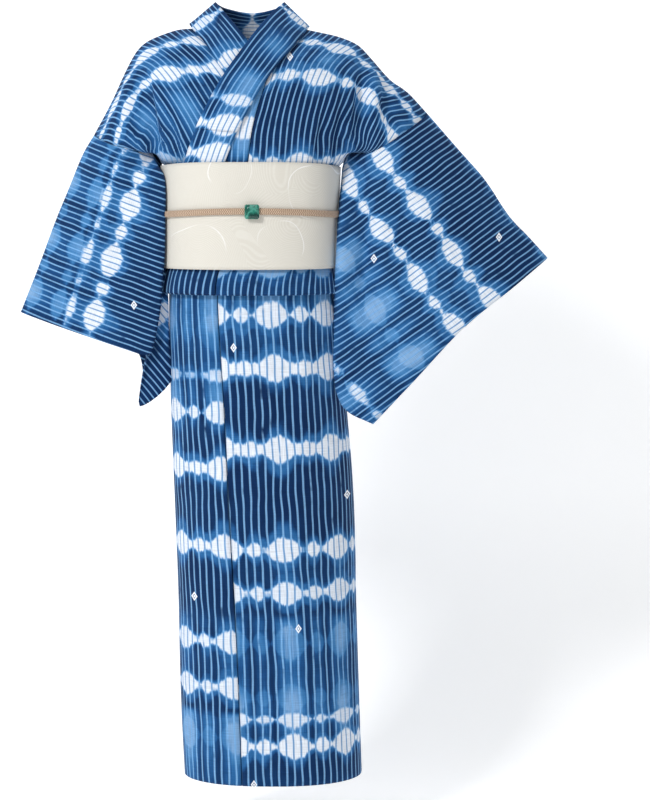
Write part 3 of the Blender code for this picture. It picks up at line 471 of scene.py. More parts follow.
def put_in_scene(bm: bmesh.types.BMesh, name: str) -> bpy.types.Object:
    """Turn a finished mesh to an object in the scene."""
    mesh = bpy.data.meshes.new(name)
    bm.to_mesh(mesh)
    bm.free()
    made = bpy.data.objects.new(name, mesh)
    bpy.context.scene.collection.objects.link(made)
    return made


def grid_normals(grid: np.ndarray, loop_rows: bool = False) -> np.ndarray:
    """Unit directions across a grid of points."""
    if loop_rows:
        along = np.roll(grid, -1, axis=1) - np.roll(grid, 1, axis=1)
    else:
        along = np.gradient(grid, axis=1)
    normal = np.cross(np.gradient(grid, axis=0), along)
    return normal / np.maximum(np.linalg.norm(normal, axis=2, keepdims=True), 1e-9)


def sheet_tree(grid: np.ndarray, out: np.ndarray) -> BVHTree:
    """Search tree of a face of a wall, its faces turned to the outside.

    Args:
        grid: points of that face.
        out: outward directions at them.

    Returns:
        The tree.
    """
    columns, rows = grid.shape[:2]
    middle = grid[columns // 2, rows // 2]
    side = np.cross(grid[columns // 2 + 1, rows // 2] - middle, grid[columns // 2, rows // 2 + 1] - middle)
    turn = float(side @ out[columns // 2, rows // 2]) < 0
    quads = []
    for i in range(columns - 1):
        for j in range(rows - 1):
            quad = (i * rows + j, (i + 1) * rows + j, (i + 1) * rows + j + 1, i * rows + j + 1)
            quads.append(quad[::-1] if turn else quad)
    return BVHTree.FromPolygons([Vector(point) for point in grid.reshape(-1, 3)], quads)


def push_out(grid: np.ndarray, trees: Iterable[BVHTree], gap: float, rows: Optional[tuple[int, int]] = None,
             rounds: int = 2) -> np.ndarray:
    """Move points off the faces under them until they clear them by the gap.

    Args:
        grid: points to move.
        trees: faces that lie under them.
        gap: clear distance in metres.
        rows: first and last row that may move.
        rounds: how far the push spreads to its neighbours.

    Returns:
        The moved grid.
    """
    moved = grid.copy()
    first, last = rows or (0, grid.shape[1])
    for i in range(grid.shape[0]):
        for j in range(first, min(last, grid.shape[1])):
            for tree in trees:
                place = Vector(moved[i, j])
                near, normal = tree.find_nearest(place, 0.03)[:2]
                if near is None:
                    continue
                away = place - near
                height = away.dot(normal)
                if height < gap and (away - normal * height).length < 0.0012:
                    moved[i, j] = near + normal * gap
    shift = moved - grid
    for _ in range(rounds):
        size = np.linalg.norm(shift, axis=2)
        best, best_size = shift.copy(), size.copy()
        for di, dj in ((1, 0), (-1, 0), (0, 1), (0, -1)):
            near_shift = np.roll(shift, (di, dj), axis=(0, 1)) * SPREAD
            near_size = np.roll(size, (di, dj), axis=(0, 1)) * SPREAD
            edge = np.zeros(size.shape, dtype=bool)
            if di:
                edge[0 if di > 0 else -1, :] = True
            if dj:
                edge[:, 0 if dj > 0 else -1] = True
            better = (near_size > best_size) & ~edge
            best[better] = near_shift[better]
            best_size[better] = near_size[better]
        shift = best
    return grid + shift


def through_points(points: np.ndarray, samples: np.ndarray, closed: bool = False) -> np.ndarray:
    """Smooth curves through unevenly spaced points, side by side.

    Args:
        points: points as [along, beside, 3].
        samples: where to read the curves, counted in points.
        closed: whether the curves are loops.

    Returns:
        The points read, as [samples, beside, 3].
    """
    count = len(points)
    if closed:
        points = np.concatenate([points[-1:], points, points[:2]])
    steps = np.linalg.norm(np.diff(points, axis=0), axis=2).mean(axis=1)
    steps = np.maximum(steps, 1e-6)[:, None, None]
    lines = np.diff(points, axis=0) / steps
    slopes = np.empty_like(points)
    slopes[1:-1] = (steps[:-1] * lines[1:] + steps[1:] * lines[:-1]) / (steps[:-1] + steps[1:])
    slopes[0], slopes[-1] = lines[0], lines[-1]
    first = np.floor(samples).astype(int)
    if not closed:
        first = np.clip(first, 0, count - 2)
    t = (samples - first)[:, None, None]
    if closed:
        first = first % count + 1
    step = steps[first]
    return ((2 * t ** 3 - 3 * t ** 2 + 1) * points[first] + (t ** 3 - 2 * t ** 2 + t) * step * slopes[first]
            + (3 * t ** 2 - 2 * t ** 3) * points[first + 1] + (t ** 3 - t ** 2) * step * slopes[first + 1])


def sample_places(grid: np.ndarray, axis: int, step: float, closed: bool = False) -> np.ndarray:
    """Places along one axis of a grid at which it is read for a fine sheet."""
    lengths = np.linalg.norm(np.diff(grid, axis=axis), axis=2).mean(axis=1 - axis)
    if closed:
        lengths = np.append(lengths, np.linalg.norm(grid[:, 0] - grid[:, -1], axis=1).mean())
    places = []
    for k, length in enumerate(lengths):
        parts = max(2, int(round(length / step)))
        places.extend(k + np.arange(parts) / parts)
    if not closed:
        places.append(float(len(lengths)))
    return np.array(places)


def refine(grid: np.ndarray, step: float, loop_rows: bool = False) -> tuple[np.ndarray, np.ndarray, np.ndarray]:
    """Fine smooth sheet through a coarse grid.

    Args:
        grid: coarse points as [columns, rows, 3].
        step: length of a fine face in metres.
        loop_rows: whether the rows are a loop.

    Returns:
        The fine grid, and the places of its columns and rows in the coarse one.
    """
    across = sample_places(grid, 0, step)
    along = sample_places(grid, 1, step, loop_rows)
    wide = through_points(grid, across)
    fine = through_points(wide.transpose(1, 0, 2), along, loop_rows).transpose(1, 0, 2)
    return fine, across, along


def press_creases(grid: np.ndarray, outward: np.ndarray, creases: Iterable[Crease]) -> np.ndarray:
    """Push the cloth in along each crease, or out along each ridge."""
    moved = grid.copy()
    for crease in creases:
        start = np.array([crease.x0, crease.z0])
        run = np.array([crease.x1, crease.z1]) - start
        flat = grid[:, :, [0, 2]] - start
        share = np.clip(flat @ run / (run @ run), 0.0, 1.0)
        wander = 0.35 * crease.width * np.sin(5.0 * share + 40.0 * crease.x0)
        apart = np.linalg.norm(flat - share[:, :, None] * run, axis=2) + wander
        taper = 0.25 + 0.75 * np.sin(math.pi * share)
        amount = crease.depth * taper * np.exp(-(apart / crease.width) ** 2)
        amount = amount * (grid[:, :, 1] * crease.face.value > 0.012)
        moved -= outward * amount[:, :, None]
    return moved


def running_lengths(grid: np.ndarray, axis: int) -> np.ndarray:
    """Mean running length of a grid along one axis, in metres."""
    steps = np.linalg.norm(np.diff(grid, axis=axis), axis=2).mean(axis=1 - axis)
    return np.concatenate([[0.0], np.cumsum(steps)])


def closed_lengths(loop: np.ndarray) -> tuple[np.ndarray, np.ndarray]:
    """Loop with its first point again at its end, and the running length at each point."""
    closed = np.vstack([loop, loop[:1]])
    return closed, np.concatenate([[0.0], np.cumsum(np.linalg.norm(np.diff(closed, axis=0), axis=1))])


@dataclass(frozen=True)
class BeadRow:
    """Row of undyed beads across the cloth: its place along the warp, half height, whiteness and least height."""

    place: float
    half: float
    white: float = 1.0
    link: float = 0.30


@dataclass(frozen=True)
class Ground:
    """Depth of the dye at a place along the warp, from 0, navy, to 1, undyed."""

    place: float
    tone: float


def placed(rows: Iterable, place: Callable[[float], float]) -> list:
    """Rows of a dye table, each moved to its place along the warp."""
    return [replace(row, place=place(row.place)) for row in rows]


@dataclass
class DyePlan:
    """Tie-dye of one panel: its bead rows, its ground, where its beads stand, and how close its stripes are."""

    rows: Sequence[BeadRow]
    grounds: Sequence[Ground]
    bead_at: float = 0.05
    close: Sequence[tuple[float, float]] = ((0.0, 1.0),)

    def fields(self, places: np.ndarray) -> np.ndarray:
        """Distance to the nearest row, its half height and whiteness, the ground, its link and the stripes."""
        shape = places.shape
        places = places.reshape(-1)
        rows = sorted(self.rows, key=lambda row: row.place)
        grounds = sorted(self.grounds, key=lambda ground: ground.place)
        apart = np.abs(places[:, None] - np.array([row.place for row in rows])[None, :])
        nearest = (apart - np.array([row.half for row in rows])[None, :]).argmin(axis=1)
        tone = np.interp(places, [ground.place for ground in grounds], [ground.tone for ground in grounds])
        gap = apart[np.arange(len(places)), nearest]
        half = np.array([rows[k].half for k in nearest])
        white = np.array([rows[k].white for k in nearest])
        link = np.array([rows[k].link for k in nearest])
        close = np.interp(places, [place for place, _close in self.close], [close for _place, close in self.close])
        fields = [np.minimum(gap / GAP_UNIT, 1.0), half / HALF_UNIT, white, tone, link, close]
        return np.stack(fields, axis=1).reshape(*shape, 6)


@dataclass
class ClothSheet:
    """Thin sheet on the form of its solid, with its size in the flat as UVs in metres."""

    name: str
    grid: np.ndarray
    out: np.ndarray
    across: np.ndarray
    along: np.ndarray
    plan: Optional[DyePlan] = None
    loop_rows: bool = False
    thickness: float = SHEET

    def build(self) -> bpy.types.Object:
        """Make the sheet, a wall of its own thickness inside its outer face.

        Returns:
            The object, at the origin.
        """
        columns, rows = self.grid.shape[:2]
        lines = rows + 1 if self.loop_rows else rows
        fields = self.plan.fields(self.along) if self.plan else np.zeros((columns, lines, 6))
        shift = self.plan.bead_at if self.plan else 0.0
        bm = bmesh.new()
        bmesh.ops.create_grid(bm, x_segments=columns - 1, y_segments=lines - 1, size=1.0)
        uv = bm.loops.layers.uv.new("cloth")
        dye = bm.verts.layers.float_color.new("dye")
        bm.verts.layers.float.new("link")
        bm.verts.layers.float.new("close")
        link, close = bm.verts.layers.float["link"], bm.verts.layers.float["close"]
        spots: dict[int, tuple[int, int]] = {}
        for vert in bm.verts:
            i = int(round((vert.co.x + 1.0) / 2.0 * (columns - 1)))
            j = int(round((vert.co.y + 1.0) / 2.0 * (lines - 1)))
            spots[vert.index] = (i, j)
        for vert in bm.verts:
            i, j = spots[vert.index]
            vert.co = self.grid[i, j % rows]
            vert[dye] = tuple(fields[i, j, :4])
            vert[link], vert[close] = fields[i, j, 4:]
        for face in bm.faces:
            for loop in face.loops:
                i, j = spots[loop.vert.index]
                loop[uv].uv = (self.across[i, j] - shift, self.along[i, j])
        if self.loop_rows:
            bmesh.ops.remove_doubles(bm, verts=bm.verts[:], dist=1e-6)
        bm.normal_update()
        middle = self.grid[columns // 2, rows // 2]
        near = min(bm.faces, key=lambda face: (face.calc_center_median() - Vector(middle)).length_squared)
        if near.normal.dot(Vector(self.out[columns // 2, rows // 2])) < 0:
            bmesh.ops.reverse_faces(bm, faces=bm.faces[:])
        for face in bm.faces:
            face.smooth = True
        made = put_in_scene(bm, self.name)
        wall = made.modifiers.new("wall", "SOLIDIFY")
        wall.thickness = self.thickness
        wall.offset = -1.0
        return made


@dataclass
class FineSheet:
    """Fine inner face of a piece of cloth, its outward directions and its places in the coarse grid."""

    grid: np.ndarray
    out: np.ndarray
    across: np.ndarray
    along: np.ndarray
    columns: np.ndarray
    rows: np.ndarray
    loop_rows: bool = False

    def outer(self, thickness: float) -> np.ndarray:
        """Outer face of the cloth."""
        return self.grid + self.out * thickness

    def tree(self, thickness: float) -> BVHTree:
        """Search tree of the outer face."""
        return sheet_tree(self.outer(thickness), self.out)

    def row_at(self, coarse: float) -> int:
        """Fine row at a coarse row."""
        return int(np.searchsorted(self.rows, coarse - 1e-6))

    def front_place(self, z: float) -> float:
        """Length along the front skirt at a height."""
        low = self.row_at(SKIRT_ROW)
        return float(np.interp(z, self.grid[:, :low, 2].mean(axis=0), self.along[:low]))

    def lines(self) -> np.ndarray:
        """Grid with its first row again at the end of a loop."""
        return np.concatenate([self.grid, self.grid[:, :1]], axis=1) if self.loop_rows else self.grid

    def flat_panel(self, from_last: bool = False) -> tuple[np.ndarray, np.ndarray]:
        """Flat coordinates of a panel with its warp along the rows, measured from its first or last column."""
        steps = np.linalg.norm(np.diff(self.lines(), axis=0), axis=2)
        across = np.vstack([np.zeros((1, steps.shape[1])), np.cumsum(steps, axis=0)])
        if from_last:
            across = across - across[-1:]
        return across, np.broadcast_to(self.along, across.shape)

    def flat_ribbon(self) -> tuple[np.ndarray, np.ndarray]:
        """Flat coordinates of a ribbon whose warp runs along the columns."""
        shape = (len(self.across), len(self.along))
        return np.broadcast_to(self.along, shape), np.broadcast_to(self.across[:, None], shape)

    def flat_tube(self, axis: tuple[float, float]) -> tuple[np.ndarray, np.ndarray]:
        """Flat coordinates of a sleeve: across along the arm, and down from its top fold on both faces."""
        grid = self.lines()
        steps = np.linalg.norm(np.diff(grid, axis=1), axis=2)
        down = np.hstack([np.zeros((len(grid), 1)), np.cumsum(steps, axis=1)])
        down = np.minimum(down, down[:, -1:] - down)
        across = (grid[:, :, 0] - grid[0, 0, 0]) * axis[0] + (grid[:, :, 2] - grid[0, 0, 2]) * axis[1]
        return across, down

    def turned(self) -> None:
        """Work the outward directions out again after a change of shape."""
        normals = grid_normals(self.grid, self.loop_rows)
        same = np.sum(normals * self.out, axis=2).mean() > 0
        self.out = normals if same else -normals

    def clear(self, trees: Iterable[BVHTree], gap: float, rows: Optional[tuple[int, int]] = None) -> None:
        """Move the face off what is under it."""
        self.grid = push_out(self.grid, trees, gap, rows, 4)
        self.turned()


def fine_sheet(coarse: np.ndarray, step: float, sign: float, loop_rows: bool = False,
               creases: Iterable[Crease] = ()) -> FineSheet:
    """Make the fine face of a piece from its coarse grid.

    Args:
        coarse: grid as the solid has it.
        step: length of a fine face.
        sign: 1 where the grid's normals point out, -1 where they point in.
        loop_rows: whether the rows are a loop.
        creases: troughs and ridges pressed into it.

    Returns:
        The fine sheet.
    """
    fine, columns, rows = refine(coarse, step, loop_rows)
    across = running_lengths(fine, 0)
    along = running_lengths(np.concatenate([fine, fine[:, :1]], axis=1) if loop_rows else fine, 1)
    sheet = FineSheet(fine, sign * grid_normals(fine, loop_rows), across, along, columns, rows, loop_rows)
    sheet.grid = press_creases(sheet.grid, sheet.out, creases)
    sheet.turned()
    return sheet


# Length of a fine face of the cotton
STEP = 0.0065
PATH_ROWS = len(tuck_path(True))
PLAIN_ROWS = len(tuck_path(False))
CREASES = MAIN_CREASES + FINE_CREASES


@dataclass
class BodyPanel:
    """Body panel of one side, from the front hem over the shoulder to the back hem."""

    side: Side
    flat: tuple[float, float] = (0.29, 2.80)

    def front_angle(self, across: float, z: float) -> float:
        """Ring angle of a front column."""
        seam = LEFT_SEAM if self.side is Side.LEFT else RIGHT_SEAM
        start = seam_angle(seam, max(z, HEM_Z)) + self.side.value * SEAM / 0.11
        end = self.side.value * (SIDE_ANGLE - SEAM / 0.24)
        return start + (end - start) * across

    def back_angle(self, across: float) -> float:
        """Ring angle of a back column, from the centre seam to the side seam."""
        start = self.side.value * (math.pi - SEAM / 0.2)
        end = self.side.value * (SIDE_ANGLE + SEAM / 0.24)
        return start + (end - start) * across

    def column(self, across: float) -> np.ndarray:
        """One column of the panel, as the solid has it."""
        left = self.side is Side.LEFT
        side = self.side.value
        table = LEFT_FRONT if left else RIGHT_FRONT
        names = ("x1", "y1", "z1", "x2", "y2", "z2", "top_x", "top_z")
        x1, y1, z1, x2, y2, z2, top_x, top_z = table_at(table, "side", names, across)[0]
        bx1, by1, bz1, bx2, by2, bz2 = table_at(BACK, "side", ("x1", "y1", "z1", "x2", "y2", "z2"), across)[0]
        shift = float(np.interp(across, [row.side for row in BACK], [row.shift for row in BACK])) if left else 0.0
        points = []
        for z, out, puff in tuck_path(left):
            angle = self.front_angle(across, z)
            lift = lift_over(angle) if left else 0.0
            points.append(ring_point(angle, z, out + lift + puff_out(angle, puff)))
        low_angle = self.front_angle(across, OBI_TOP_Z)
        low_out = TUCK_OUT + lift_over(low_angle) if left else 0.0
        step = low_out * (1.0 - 0.6 * across)
        low = ring_point(low_angle, OBI_TOP_Z, low_out)
        angle = self.back_angle(across)
        back_lift = lift_over(angle) if left else 0.0
        back_low = ring_point(angle, OBI_TOP_Z, TUCK_OUT + back_lift)
        spread = float(smooth_step((across - 0.55) / 0.45))
        for end in (low, back_low):
            end[0] += (side * ARMPIT_X - end[0]) * spread
            end[2] += ARMPIT_UP * spread
        after = ring_point(angle, -0.2255, TUCK_OUT + back_lift)
        chest = [points[-1], low, (x1, y1 - step, z1), (x2, y2 - 0.5 * step, z2), (top_x, 0.0, top_z),
                 (side * (bx2 + shift), by2, bz2), (side * (bx1 + shift), by1, bz1), back_low, after]
        rise = spline(chest, 1.0 + np.arange(6 * SPAN_ROWS + 1) / SPAN_ROWS)
        middle = 3 * SPAN_ROWS
        rise[middle:, 0] = side * np.maximum(side * rise[middle:, 0], SEAM / 2)
        height = np.sin(np.linspace(0.0, math.pi, len(rise)))[:, None]
        rise -= np.array([0.0, 0.0, 0.0035]) * height * max(0.0, 1.0 - across / 0.14)
        points += list(rise)
        for z, out, puff in reversed(tuck_path(True)):
            points.append(ring_point(angle, z, out + back_lift + puff_out(angle, puff)))
        return np.array(points)

    def coarse(self) -> np.ndarray:
        """Grid of the panel, columns from the front seam to the side."""
        return np.array([self.column(share) for share in np.linspace(0.0, 1.0, BODY_COLUMNS + 1)])

    def plan(self, sheet: FineSheet) -> DyePlan:
        """Dye of the panel, its rows placed by height on the skirt and by distance from the shoulder above."""
        first = PATH_ROWS if self.side is Side.LEFT else PLAIN_ROWS
        front = sheet.front_place
        heights = sheet.grid[:, :, 2].mean(axis=0)
        back = sheet.row_at(first + 6 * SPAN_ROWS + 1 + PATH_ROWS - 11)
        ridge = sheet.along[sheet.row_at(first + 3 * SPAN_ROWS)]
        obi = sheet.along[sheet.row_at(first)]
        back_obi = sheet.along[sheet.row_at(first + 6 * SPAN_ROWS)]
        last = sheet.along[-1]

        def behind(z: float) -> float:
            """Place on the back skirt."""
            return float(np.interp(-z, -heights[back:], sheet.along[back:]))

        left = self.side is Side.LEFT
        rows = placed(SKIRT_ROWS if left else OVERLAP_ROWS, front)
        tones = placed(SKIRT_GROUND if left else OVERLAP_GROUND, front)
        rows += placed(LEFT_CHEST if left else RIGHT_CHEST, lambda place: ridge + place)
        tones += placed(LEFT_CHEST_GROUND if left else RIGHT_CHEST_GROUND, lambda place: ridge + place)
        rows += [BeadRow(obi + 0.002, 0.018, 1.0 if left else 0.7)]
        rows += [BeadRow(obi - 0.177, 0.020, 0.62, 0.0)] if left else []
        tones += [Ground(front(-0.400), 0.30), Ground(0.5 * (front(-0.4) + obi), 0.12), Ground(obi - 0.12, 0.12)]
        rows += [BeadRow(ridge + 0.062, 0.018, 0.95), BeadRow(ridge + 0.132, 0.020), BeadRow(back_obi - 0.006, 0.019)]
        tones += [Ground(ridge + 0.09, 0.25), Ground(ridge + 0.17, 0.05), Ground(back_obi + 0.05, 0.15)]
        tones += [Ground(behind(-0.41), 0.30), Ground(last, 0.15)]
        rows += placed(SKIRT_ROWS, lambda place: behind(place + 0.012))
        tones += placed(SKIRT_GROUND[:-1], lambda place: behind(place + 0.012))
        close = ((front(-0.43), 1.0), (obi, 1.26), (back_obi, 1.26), (behind(-0.43), 1.0))
        return DyePlan(rows, tones, 0.086 if left else 0.125, close)


SKIRT_ROWS = rows_of(BeadRow, (
    (-0.463, 0.0225, 0.95, 0.16), (-0.55, 0.0235, 1.0, 0.44), (-0.681, 0.0235, 1.0, 0.44),
    (-0.845, 0.0215, 1.0, 0.2), (-0.916, 0.0205, 0.95, 0.28), (-0.998, 0.03, 0.26, 0.0), (-1.088, 0.024, 0.2, 0.0),
    (-1.124, 0.0145, 0.85, 0.0), (-1.169, 0.0225, 1.0, 0.22),
))
SKIRT_GROUND = rows_of(Ground, (
    (-1.235, 0.14), (-1.2, 0.06), (-1.148, 0.26), (-1.11, 0.4), (-1.07, 0.24), (-1.04, 0.2), (-1.0, 0.28),
    (-0.965, 0.28), (-0.945, 0.06), (-0.88, 0.16), (-0.815, 0.02), (-0.72, 0.02), (-0.64, 0.02), (-0.585, 0.05),
    (-0.506, 0.14), (-0.44, 0.4), (-0.42, 0.4),
))
OVERLAP_ROWS = rows_of(BeadRow, (
    (-0.562, 0.011, 0.75, 0.0), (-0.622, 0.02, 0.95, 0.12), (-0.713, 0.021, 1.0, 0.42), (-0.84, 0.021, 1.0, 0.36),
    (-0.997, 0.02, 0.95, 0.3), (-1.073, 0.02, 0.95, 0.3), (-0.492, 0.03, 0.14, 0.0), (-1.156, 0.028, 0.22, 0.0),
))
OVERLAP_GROUND = rows_of(Ground, (
    (-1.235, 0.22), (-1.205, 0.24), (-1.165, 0.38), (-1.125, 0.42), (-1.108, 0.06), (-1.035, 0.18), (-0.97, 0.22),
    (-0.94, 0.05), (-0.8, 0.05), (-0.75, 0.08), (-0.672, 0.06), (-0.597, 0.36), (-0.54, 0.16), (-0.5, 0.22),
    (-0.47, 0.36), (-0.43, 0.38),
))
LEFT_CHEST = rows_of(BeadRow, (
    (-0.046, 0.016, 0.95, 0.24), (-0.116, 0.0165, 1.0, 0.34),
))
LEFT_CHEST_GROUND = rows_of(Ground, (
    (-0.18, 0.03), (-0.14, 0.05), (-0.08, 0.26), (0.0, 0.1), (0.02, 0.1),
))
RIGHT_CHEST = rows_of(BeadRow, (
    (-0.05, 0.015, 0.95, 0.3), (-0.108, 0.0165, 1.0, 0.36),
))
RIGHT_CHEST_GROUND = rows_of(Ground, (
    (-0.205, 0.24), (-0.165, 0.28), (-0.142, 0.22), (-0.128, 0.08), (-0.08, 0.1), (0.0, 0.06), (0.02, 0.1),
))


LEFT_SLEEVE_ROWS = rows_of(BeadRow, (
    (0.004, 0.006, 0.5, 0.0), (0.13, 0.0165, 1.0, 0.2), (0.203, 0.016, 1.0, 0.2), (0.29, 0.019, 0.28, 0.0),
    (0.395, 0.011, 0.8, 0.0),
))
LEFT_SLEEVE_GROUND = rows_of(Ground, (
    (0.0, 0.18), (0.02, 0.05), (0.09, 0.02), (0.165, 0.12), (0.235, 0.14), (0.265, 0.36), (0.32, 0.4),
    (0.345, 0.14), (0.37, 0.2), (0.41, 0.34),
))
RIGHT_SLEEVE_ROWS = rows_of(BeadRow, (
    (0.016, 0.017, 0.36, 0.0), (0.067, 0.015, 0.42, 0.1), (0.088, 0.0085, 0.95, 0.0), (0.13, 0.019, 1.0, 0.16),
    (1.0, 0.017),
))
RIGHT_SLEEVE_GROUND = rows_of(Ground, (
    (0.0, 0.28), (0.03, 0.21), (0.05, 0.18), (0.11, 0.22), (0.16, 0.12), (0.2, 0.04), (0.3, 0.05), (0.9, 0.05),
    (1.04, 0.05), (1.2, 0.05),
))
# Direction of each arm, and of the weft on its sleeve in the front view
ARM_AXIS = {Side.LEFT: (0.643, 0.0, -0.766), Side.RIGHT: (-0.39, 0.0, -0.92)}
WEFT_AXIS = {Side.LEFT: (0.574, -0.819), Side.RIGHT: (-0.342, -0.940)}
# How far the sleeves' inner edges swing in, how much more low down, and how far forward
SWING_IN = {Side.LEFT: 0.0130, Side.RIGHT: 0.0105}
SWING_IN_LOW = 0.0020
SWING_FORWARD = {Side.LEFT: 0.022, Side.RIGHT: 0.008}
# The stripes lie closer on the sleeves than on the skirt
SLEEVE_STRIPES = ((0.0, 1.38),)


@dataclass
class Okumi:
    """Overlap panel sewn to the front edge of a body panel."""

    side: Side
    flat: tuple[float, float] = (0.15, 1.45)

    def under(self) -> np.ndarray:
        """Grid of the right panel, hidden under the left front."""
        heights = [z for z, _out, _puff in tuck_path(False) if z < -0.32]
        columns = []
        for share in np.linspace(0.0, 1.0, 7):
            starts = [seam_angle(RIGHT_SEAM, z) + SEAM / 0.11 for z in heights]
            columns.append([ring_point(start + (UNDER_EDGE_ANGLE - start) * share, z)
                            for start, z in zip(starts, heights)])
        return np.array(columns)

    def over(self, body: np.ndarray) -> np.ndarray:
        """Grid of the left panel, from its free edge to the seam of the body panel."""
        path = tuck_path(True)
        collar_x = float(table_at(LEFT_EDGE, "z", ("x",), OBI_TOP_Z)[0][0])
        columns = []
        for share in np.linspace(0.0, 1.0, 9):
            points = []
            for z, out, puff in path:
                seam = seam_angle(LEFT_SEAM, z) - SEAM / 0.11
                edge = FREE_EDGE_ANGLE
                if out >= TUCK_OUT and z > -0.345:
                    share_up = (z + 0.350) / (OBI_TOP_Z + 0.350)
                    edge = FREE_EDGE_ANGLE + (angle_at(collar_x, OBI_TOP_Z) - FREE_EDGE_ANGLE) * share_up
                angle = edge + (seam - edge) * share
                points.append(ring_point(angle, z, out + LEFT_LIFT + puff_out(angle, puff)))
            for j in range(len(path), len(path) + 2 * SPAN_ROWS):
                seam_point = body[0, j] + np.array([-0.0011, 0.0, 0.0])
                edge_x = float(table_at(LEFT_EDGE, "z", ("x",), seam_point[2])[0][0])
                x = seam_point[0] + (min(edge_x, seam_point[0] - 0.006) - seam_point[0]) * (1.0 - share)
                bend = ring_point(angle_at(x, OBI_TOP_Z), OBI_TOP_Z)
                bend = bend - ring_point(angle_at(seam_point[0], OBI_TOP_Z), OBI_TOP_Z)
                points.append(np.array([x, seam_point[1] + bend[1], seam_point[2]]))
            columns.append(points)
        return np.array(columns)

    def plan(self, sheet: FineSheet) -> DyePlan:
        """Dye of the panel."""
        rows, tones = placed(OVERLAP_ROWS, sheet.front_place), placed(OVERLAP_GROUND, sheet.front_place)
        last = sheet.along[-1]
        rows.append(BeadRow(last - 0.082, 0.020))
        tones += [Ground(last - 0.40, 0.08), Ground(last - 0.16, 0.05), Ground(last - 0.10, 0.45), Ground(last, 0.9)]
        return DyePlan(rows, tones, -0.008, ((last - 0.40, 1.0), (last - 0.20, 1.26)))


@dataclass
class Collar:
    """Collar band and the over-collar that lies on it."""

    flat: tuple[float, float] = (0.070, 1.00)
    over_flat: tuple[float, float] = (0.070, 0.76)

    def coarse(self) -> np.ndarray:
        """Ribbon of the collar as [stations, columns, 3]."""
        names = ("in_x", "in_y", "in_z", "out_x", "out_y", "out_z")
        rows = [[getattr(row, name) for name in names] for row in COLLAR]
        edges = spline(rows, np.linspace(0.0, len(COLLAR) - 1.0, COLLAR_STATIONS))
        inner, outer = edges[:, :3], edges[:, 3:]
        shares = np.linspace(0.0, 1.0, COLLAR_COLUMNS + 1)
        grid = inner[:, None, :] + (outer - inner)[:, None, :] * shares[None, :, None]
        grid[:, :, 1] += np.sign(grid[:, :, 1]) * (np.sin(math.pi * shares) * 0.003)[None, :]
        return grid

    @staticmethod
    def soften(grid: np.ndarray) -> np.ndarray:
        """Even out the ribbon along its length, without sinking it on the front."""
        for _ in range(2):
            near = grid.copy()
            near[1:-1] = (grid[:-2] + 2 * grid[1:-1] + grid[2:]) / 4
            deep = grid[:, :, 1] < -0.04
            grid[:, :, 1] = np.where(deep, np.minimum(grid[:, :, 1], near[:, :, 1]), near[:, :, 1])
        return grid

    def settle(self, ribbon: np.ndarray, trees: Iterable[BVHTree]) -> np.ndarray:
        """Lay a part of the ribbon on what is under it."""
        for _ in range(2):
            ribbon = self.soften(push_out(ribbon, trees, LAYER_GAP))
        return push_out(ribbon, trees, LAYER_GAP)

    def plan(self, sheet: FineSheet) -> DyePlan:
        """Dye of the ribbon, its rows placed by station."""
        stations = sheet.columns / COLLAR_SPAN

        def place(station: float) -> float:
            """Length along the ribbon at a station."""
            return float(np.interp(station, stations, sheet.across))

        rows = ((1.30, 0.022, 1.0), (2.15, 0.021, 1.0), (2.78, 0.012, 0.85), (5.75, 0.013, 0.95), (8.00, 0.016, 1.0),
                (10.45, 0.015, 0.9), (12.05, 0.015, 1.0), (13.7, 0.015, 1.0))
        tones = ((0.0, 0.1), (1.7, 0.26), (2.45, 0.26), (3.35, 0.34), (3.85, 0.08), (4.45, 0.28), (5.1, 0.14),
                 (6.6, 0.10), (7.2, 0.20), (9.2, 0.10), (11.2, 0.12), (12.8, 0.20), (16.0, 0.15))
        return DyePlan([BeadRow(place(s), half, white) for s, half, white in rows],
                       [Ground(place(s), tone) for s, tone in tones], 0.040, ((0.0, 1.5),))


